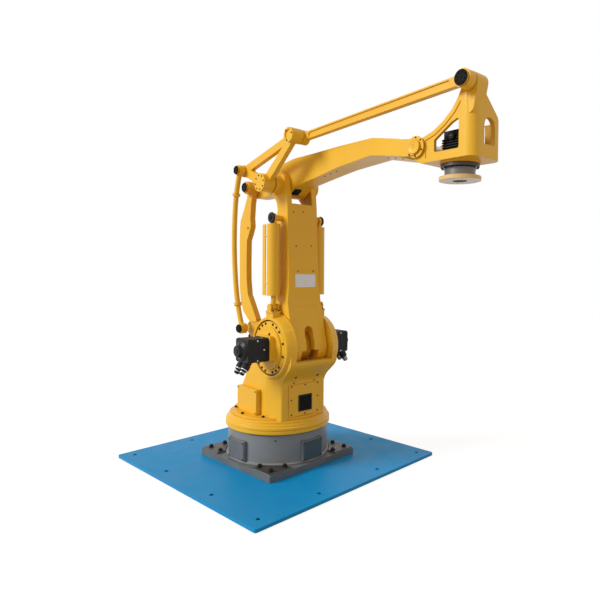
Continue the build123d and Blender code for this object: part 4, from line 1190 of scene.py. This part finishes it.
@dataclass
class Linkage:
    """The crank, the drive link, the level rod, the triangle link and the tie rod."""

    hub_bolt_r: float = 52.0
    hub_bolts: int = 8
    top_bolt_r: float = 40.0
    top_bolts: int = 3
    cap_screws: int = 8
    cap_seat: float = 4.6
    screw: Fastener = field(default_factory=lambda: Fastener(5.5, 3.5, socket_r=2.6))

    def build(self, shop: Workshop) -> None:
        """Builds and dresses the links.

        Args:
            shop: The workshop.
        """
        for node, width in (("crank", 4.0), ("drive_link", 5.0), ("level_rod", 3.0), ("triangle_link", 4.0),
                            ("tie_rod", 4.0)):
            shop.soften(node, node, Finish.YELLOW, width)
        shop.soften("crank_pin", "crank_pin", Finish.OXIDE, 1.5)
        self._caps(shop)
        self._hub_bolts(shop)

    def _caps(self, shop: Workshop) -> None:
        """Puts a dark bolted cap on the end of each link pin."""
        pins = (
            ("level_high", "triangle_link", "triangle_link",
             self._far_end(shop, "level_rod_swing", "lower_arm_swing", "triangle_turn"), RIGHT, 33.0),
            ("level_low", "level_rod_pin", "swivel", shop.pivot("level_rod_swing"), RIGHT, 30.0),
            ("tail", "upper_arm", "upper_arm",
             self._far_end(shop, "crank_pin_turn", "lower_arm_swing", "triangle_turn"), RIGHT, 38.0),
            ("crank_outer", "crank_pin", "crank_pin", shop.pivot("crank_pin_turn"), RIGHT, 36.0),
            ("crank_inner", "crank_pin", "crank_pin", shop.pivot("crank_pin_turn"), LEFT, 36.0),
            ("tie_front", "wrist_head", "wrist_head",
             self._far_end(shop, "tie_rod_swing", "upper_arm_swing", "wrist_level"), RIGHT, 41.0),
        )
        for name, node, body, (x, z), side, radius in pins:
            place = shop.side_seat(node, side, x, z)
            if place is None:
                LOG.info("no seat for %s", name)
                continue
            cap = Shape().lathe(place, [(0, 0), (radius, 0), (radius, 3.0), (radius - 2, 5.0),
                                        (radius * 0.5, 5.0), (radius * 0.46, 3.4), (radius * 0.2, 3.4),
                                        (radius * 0.16, 5.4), (0, 5.4)], 36)
            for spot in ring_spots(self.cap_screws, radius * 0.74, 22.5):
                self.screw.add(cap, place @ shift(*spot, self.cap_seat))
            shop.fit(cap.finished(f"pin_cap_{name}"), body, Finish.RUBBER)

    @staticmethod
    def _far_end(shop: Workshop, near: str, start: str, end: str) -> Point:
        """Returns a rod's far pivot, as far from its near one as two hinges are from one another.

        Args:
            shop: The workshop.
            near: The joint at the rod's near pivot.
            start: The hinge that matches it.
            end: The hinge that matches the far pivot.

        Returns:
            The far pivot in the arm's plane.
        """
        low, first, last = (shop.pivot(name) for name in (near, start, end))
        return low[0] + last[0] - first[0], low[1] + last[1] - first[1]

    def _hub_bolts(self, shop: Workshop) -> None:
        """Sets the bolts on the triangle link's hub and on its top boss."""
        places = []
        for joint, radius, count in (("triangle_turn", self.hub_bolt_r, self.hub_bolts),
                                     ("tie_rod_swing", self.top_bolt_r, self.top_bolts)):
            x0, z0 = shop.pivot(joint)
            places += [shop.side_seat("triangle_link", RIGHT, x0 + x, z0 + z)
                       for x, z in ring_spots(count, radius, 10.0)]
        shop.fasten("triangle_hub_bolts", "triangle_link", self.screw, places)


@dataclass
class UpperArm:
    """The upper arm, its wrist pin and what is fixed under its belly."""

    prong_bolt_r: float = 53.0
    prong_angles: tuple[float, ...] = (84.0, 40.0, -24.0, -86.0, -131.0)
    belly_reach: tuple[float, ...] = (433.0, 495.0, 557.0, 1050.0, 1110.0, 1170.0)
    belly_y: float = -38.0
    belly_below: float = 400.0
    boss_r: float = 41.0
    bumper: Triple = (56.0, 58.0, 15.0)
    bumper_spot: Point = (92.0, -34.0)
    bolt: Fastener = field(default_factory=lambda: Fastener(5.0, 3.0, socket_r=2.4))

    def build(self, shop: Workshop) -> None:
        """Builds and dresses the upper arm.

        Args:
            shop: The workshop.
        """
        shop.soften("upper_arm", "upper_arm", Finish.YELLOW, 6.0)
        shop.paint_node("wrist_pin", Finish.STEEL)
        x0, z0 = shop.pivot("wrist_level")
        elbow_x, elbow_z = shop.pivot("upper_arm_swing")
        places = []
        for side, _ in SIDES:
            for turn in self.prong_angles:
                x, z = polar(self.prong_bolt_r, turn)
                places.append(shop.side_seat("upper_arm", side, x0 + x, z0 + z))
        below = elbow_z - self.belly_below
        places += [shop.seat("upper_arm", (elbow_x + reach, self.belly_y, below), (0, 0, 1))
                   for reach in self.belly_reach]
        shop.fasten("upper_arm_screws", "upper_arm", self.bolt, places)
        ahead, across = self.bumper_spot
        pad = shop.seat("upper_arm", (elbow_x + ahead, across, below), (0, 0, 1))
        if pad is not None:
            bumper = Shape().block(pad, self.bumper, 5.0)
            shop.fit(bumper.finished("elbow_bumper"), "upper_arm", Finish.RUBBER)
        for side, name in SIDES:
            self._boss(shop, side, name)

    def _boss(self, shop: Workshop, side: int, name: str) -> None:
        """Puts the round turned cap over an end of the wrist pin.

        Args:
            shop: The workshop.
            side: RIGHT or LEFT.
            name: The side's name.
        """
        place = shop.side_seat("upper_arm", side, *shop.pivot("wrist_level"))
        if place is None:
            return
        radius = self.boss_r
        cap = Shape().lathe(place, [(0, -1), (radius, -1), (radius, 4), (radius - 2, 6), (radius - 7, 6),
                                    (radius - 9, 5), (radius * 0.3, 5), (radius * 0.25, 3),
                                    (radius * 0.12, 3), (radius * 0.1, 5.5), (0, 5.5)], 48)
        shop.fit(cap.finished(f"wrist_boss_cap_{name}"), "upper_arm", Finish.YELLOW)


@dataclass
class WristHead:
    """The wrist head, its motor and reducer, and the tool flange."""

    rim_bolts: int = 16
    rim_inset: float = 9.0
    disc_high: float = 24.0
    disc_hub: float = 0.5
    fins: int = 6
    fin_first: float = 60.0
    fin_pitch: float = 14.0
    fin_half: float = 76.0
    bolt: Fastener = field(default_factory=lambda: Fastener(5.0, 5.0, socket_r=2.4))

    def build(self, shop: Workshop) -> None:
        """Builds and dresses the wrist.

        Args:
            shop: The workshop.
        """
        shop.soften("wrist_head", "wrist_head", Finish.YELLOW, 4.0)
        shop.soften("wrist_motor", "wrist_head", Finish.BLACK, 3.0)
        shop.soften("wrist_reducer", "wrist_head", Finish.GUNMETAL, 2.0)
        flange = shop.soften("tool_flange", "tool_flange", Finish.BARREL, 1.5)
        low, high = shop.extent("tool_flange")
        tool_x, middle_y = (low.x + high.x) / 2, (low.y + high.y) / 2
        rim = (high.x - low.x) / 2

        def on_disc(spot: Vector, normal: Vector) -> bool:
            """Tells the disc's faces from the barrel's."""
            away = math.hypot(spot.x - tool_x, spot.y - middle_y)
            rises = away > rim * self.disc_hub or abs(normal.z) > FACING
            return spot.z < low.z + self.disc_high and rises

        shop.second_finish(flange, Finish.TAN, on_disc)
        shop.second_finish(flange, Finish.ALUMINIUM, lambda spot, normal: normal.z < -FACING)
        self._rim_bolts(shop, tool_x, middle_y)
        self._motor_trim(shop)

    def _rim_bolts(self, shop: Workshop, x0: float, y0: float) -> None:
        """Hangs the bolts under the reducer's rim."""
        low, high = shop.extent("wrist_reducer")
        radius = (high.x - low.x) / 2 - self.rim_inset
        places = [shop.space.facing(x0 + x, y0 + y, low.z, (0, 0, -1))
                  for x, y in ring_spots(self.rim_bolts, radius)]
        shop.fasten("wrist_reducer_bolts", "wrist_head", self.bolt, places)

    def _motor_trim(self, shop: Workshop) -> None:
        """Adds the fins and the connector of the wrist motor."""
        low, high = shop.extent("wrist_motor")
        x0, y0 = (low.x + high.x) / 2, (low.y + high.y) / 2
        half = (high.x - low.x) / 2
        trim = Shape()
        for step in range(self.fins):
            place = shop.space.facing(x0, y0, low.z + self.fin_first + self.fin_pitch * step, (0, 0, 1))
            trim.prism(place, Swivel.square(min(half, self.fin_half) + 2.0, 12.0), 0.0, 6.0, 1.5)
        plug = shop.space.facing(x0, low.y + 10, high.z - 40, (0.2, -1, 0))
        trim.lathe(plug, WRIST_PLUG, 18)
        shop.fit(trim.finished("wrist_motor_trim"), "wrist_head", Finish.BLACK)


@dataclass(frozen=True)
class Studio:
    """The floor, the light and the camera of the picture, in metres and degrees."""

    lens: float = 31.98
    sensor: float = 36.0
    shift: Point = (-0.0848, -0.0411)
    eye: Triple = (3.29124, -2.75103, 1.50194)
    yaw: float = 42.48
    pitch: float = -0.64
    roll: float = 0.6
    floor_half: float = 14.0
    key_from: Triple = (-0.42, -0.8, 0.5)
    key_power: float = 2.45
    ambient: float = 0.57

    def build(self) -> None:
        """Sets up camera, floor, world and lamps."""
        scene = bpy.context.scene
        scene.view_settings.view_transform = "Standard"
        self._camera(scene)
        self._floor()
        self._world(scene)
        self._key()

    def _camera(self, scene: bpy.types.Scene) -> None:
        """Places the camera at the photographed viewpoint."""
        data = bpy.data.cameras.new("picture_camera")
        data.sensor_width = self.sensor
        data.sensor_fit = "HORIZONTAL"
        data.lens = self.lens
        data.shift_x, data.shift_y = self.shift
        data.clip_end = 200.0
        camera = bpy.data.objects.new("picture_camera", data)
        yaw, pitch, roll = math.radians(self.yaw), math.radians(self.pitch), math.radians(self.roll)
        ahead = Vector((-math.sin(yaw) * math.cos(pitch), math.cos(yaw) * math.cos(pitch), math.sin(pitch)))
        right = Vector((math.cos(yaw), math.sin(yaw), 0.0))
        up = right.cross(ahead)
        across = right * math.cos(roll) + up * math.sin(roll)
        above = up * math.cos(roll) - right * math.sin(roll)
        turn = Matrix((across, above, -ahead)).transposed().to_4x4()
        camera.matrix_world = Matrix.Translation(self.eye) @ turn
        scene.collection.objects.link(camera)
        scene.camera = camera

    def _floor(self) -> None:
        """Lays the pale floor, which keeps the shadow and looks white to the camera."""
        data = bpy.data.meshes.new("studio_floor")
        half, below = self.floor_half, -0.001
        data.from_pydata([(-half, -half, below), (half, -half, below), (half, half, below),
                          (-half, half, below)], [], [(0, 1, 2, 3)])
        floor = bpy.data.objects.new("studio_floor", data)
        bpy.context.scene.collection.objects.link(floor)
        material = bpy.data.materials.new("pale_floor")
        material.use_nodes = True
        graph = Graph(material.node_tree)
        graph.tree.nodes.clear()
        plain = graph.add("BsdfDiffuse", {"Color": (0.54, 0.48, 0.42, 1.0)})
        soft = graph.add("BsdfDiffuse", {"Color": (0.3, 0.3, 0.3, 1.0)})
        glow = graph.add("Emission", {"Color": (1.0, 1.0, 1.0, 1.0), "Strength": 0.8})
        both = graph.add("AddShader")
        graph.link(soft.outputs["BSDF"], both.inputs[0], glow.outputs["Emission"], both.inputs[1])
        self._split(graph, plain, both, graph.add("OutputMaterial"))
        data.materials.append(material)

    @staticmethod
    def _split(graph: Graph, plain: bpy.types.Node, shown: bpy.types.Node, out: bpy.types.Node) -> None:
        """Lights the arm with one shader and shows another to the camera.

        Args:
            graph: The tree.
            plain: What lights the arm.
            shown: What the picture shows.
            out: The output node.
        """
        path = graph.add("LightPath").outputs
        seen = path["Is Camera Ray"]
        for name in ("Is Glossy Ray", "Is Transmission Ray"):
            seen = graph.maths("MAXIMUM", seen, path[name]).outputs["Value"]
        mixer = graph.add("MixShader")
        graph.link(seen, mixer.inputs["Fac"], plain.outputs[0], mixer.inputs[1], shown.outputs[0],
                   mixer.inputs[2], mixer.outputs["Shader"], out.inputs["Surface"])

    def _world(self, scene: bpy.types.Scene) -> None:
        """Makes the soft dome of light and the white background."""
        world = bpy.data.worlds.new("studio")
        scene.world = world
        world.use_nodes = True
        graph = Graph(world.node_tree)
        graph.tree.nodes.clear()
        light = graph.add("Background", {"Color": (1.0, 0.95, 0.9, 1.0), "Strength": self.ambient})
        white = graph.add("Background", {"Color": (1.0, 1.0, 1.0, 1.0), "Strength": 1.0})
        self._split(graph, light, white, graph.add("OutputWorld"))

    def _key(self) -> None:
        """Hangs the broad key light."""
        data = bpy.data.lights.new("key_light", "SUN")
        data.energy = self.key_power
        data.angle = math.radians(24.0)
        data.color = (0.95, 0.99, 1.0)
        lamp = bpy.data.objects.new("key_light", data)
        lamp.rotation_mode = "QUATERNION"
        lamp.rotation_quaternion = Vector(self.key_from).to_track_quat("Z", "Y")
        bpy.context.scene.collection.objects.link(lamp)


def main() -> None:
    """Builds every assembly in order and reports the pieces."""
    logging.basicConfig(level=logging.INFO, format="%(message)s")
    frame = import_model()
    shop = Workshop(frame)
    for assembly in (FloorMount(), Swivel(), LowerArm(), Linkage(), UpperArm(), WristHead()):
        assembly.build(shop)
        LOG.info("built %s", type(assembly).__name__)
    for name in shop.nodes:
        if name not in shop.done:
            LOG.info("bare node %s", name)
    Studio().build()


if __name__ == "__main__":
    main()
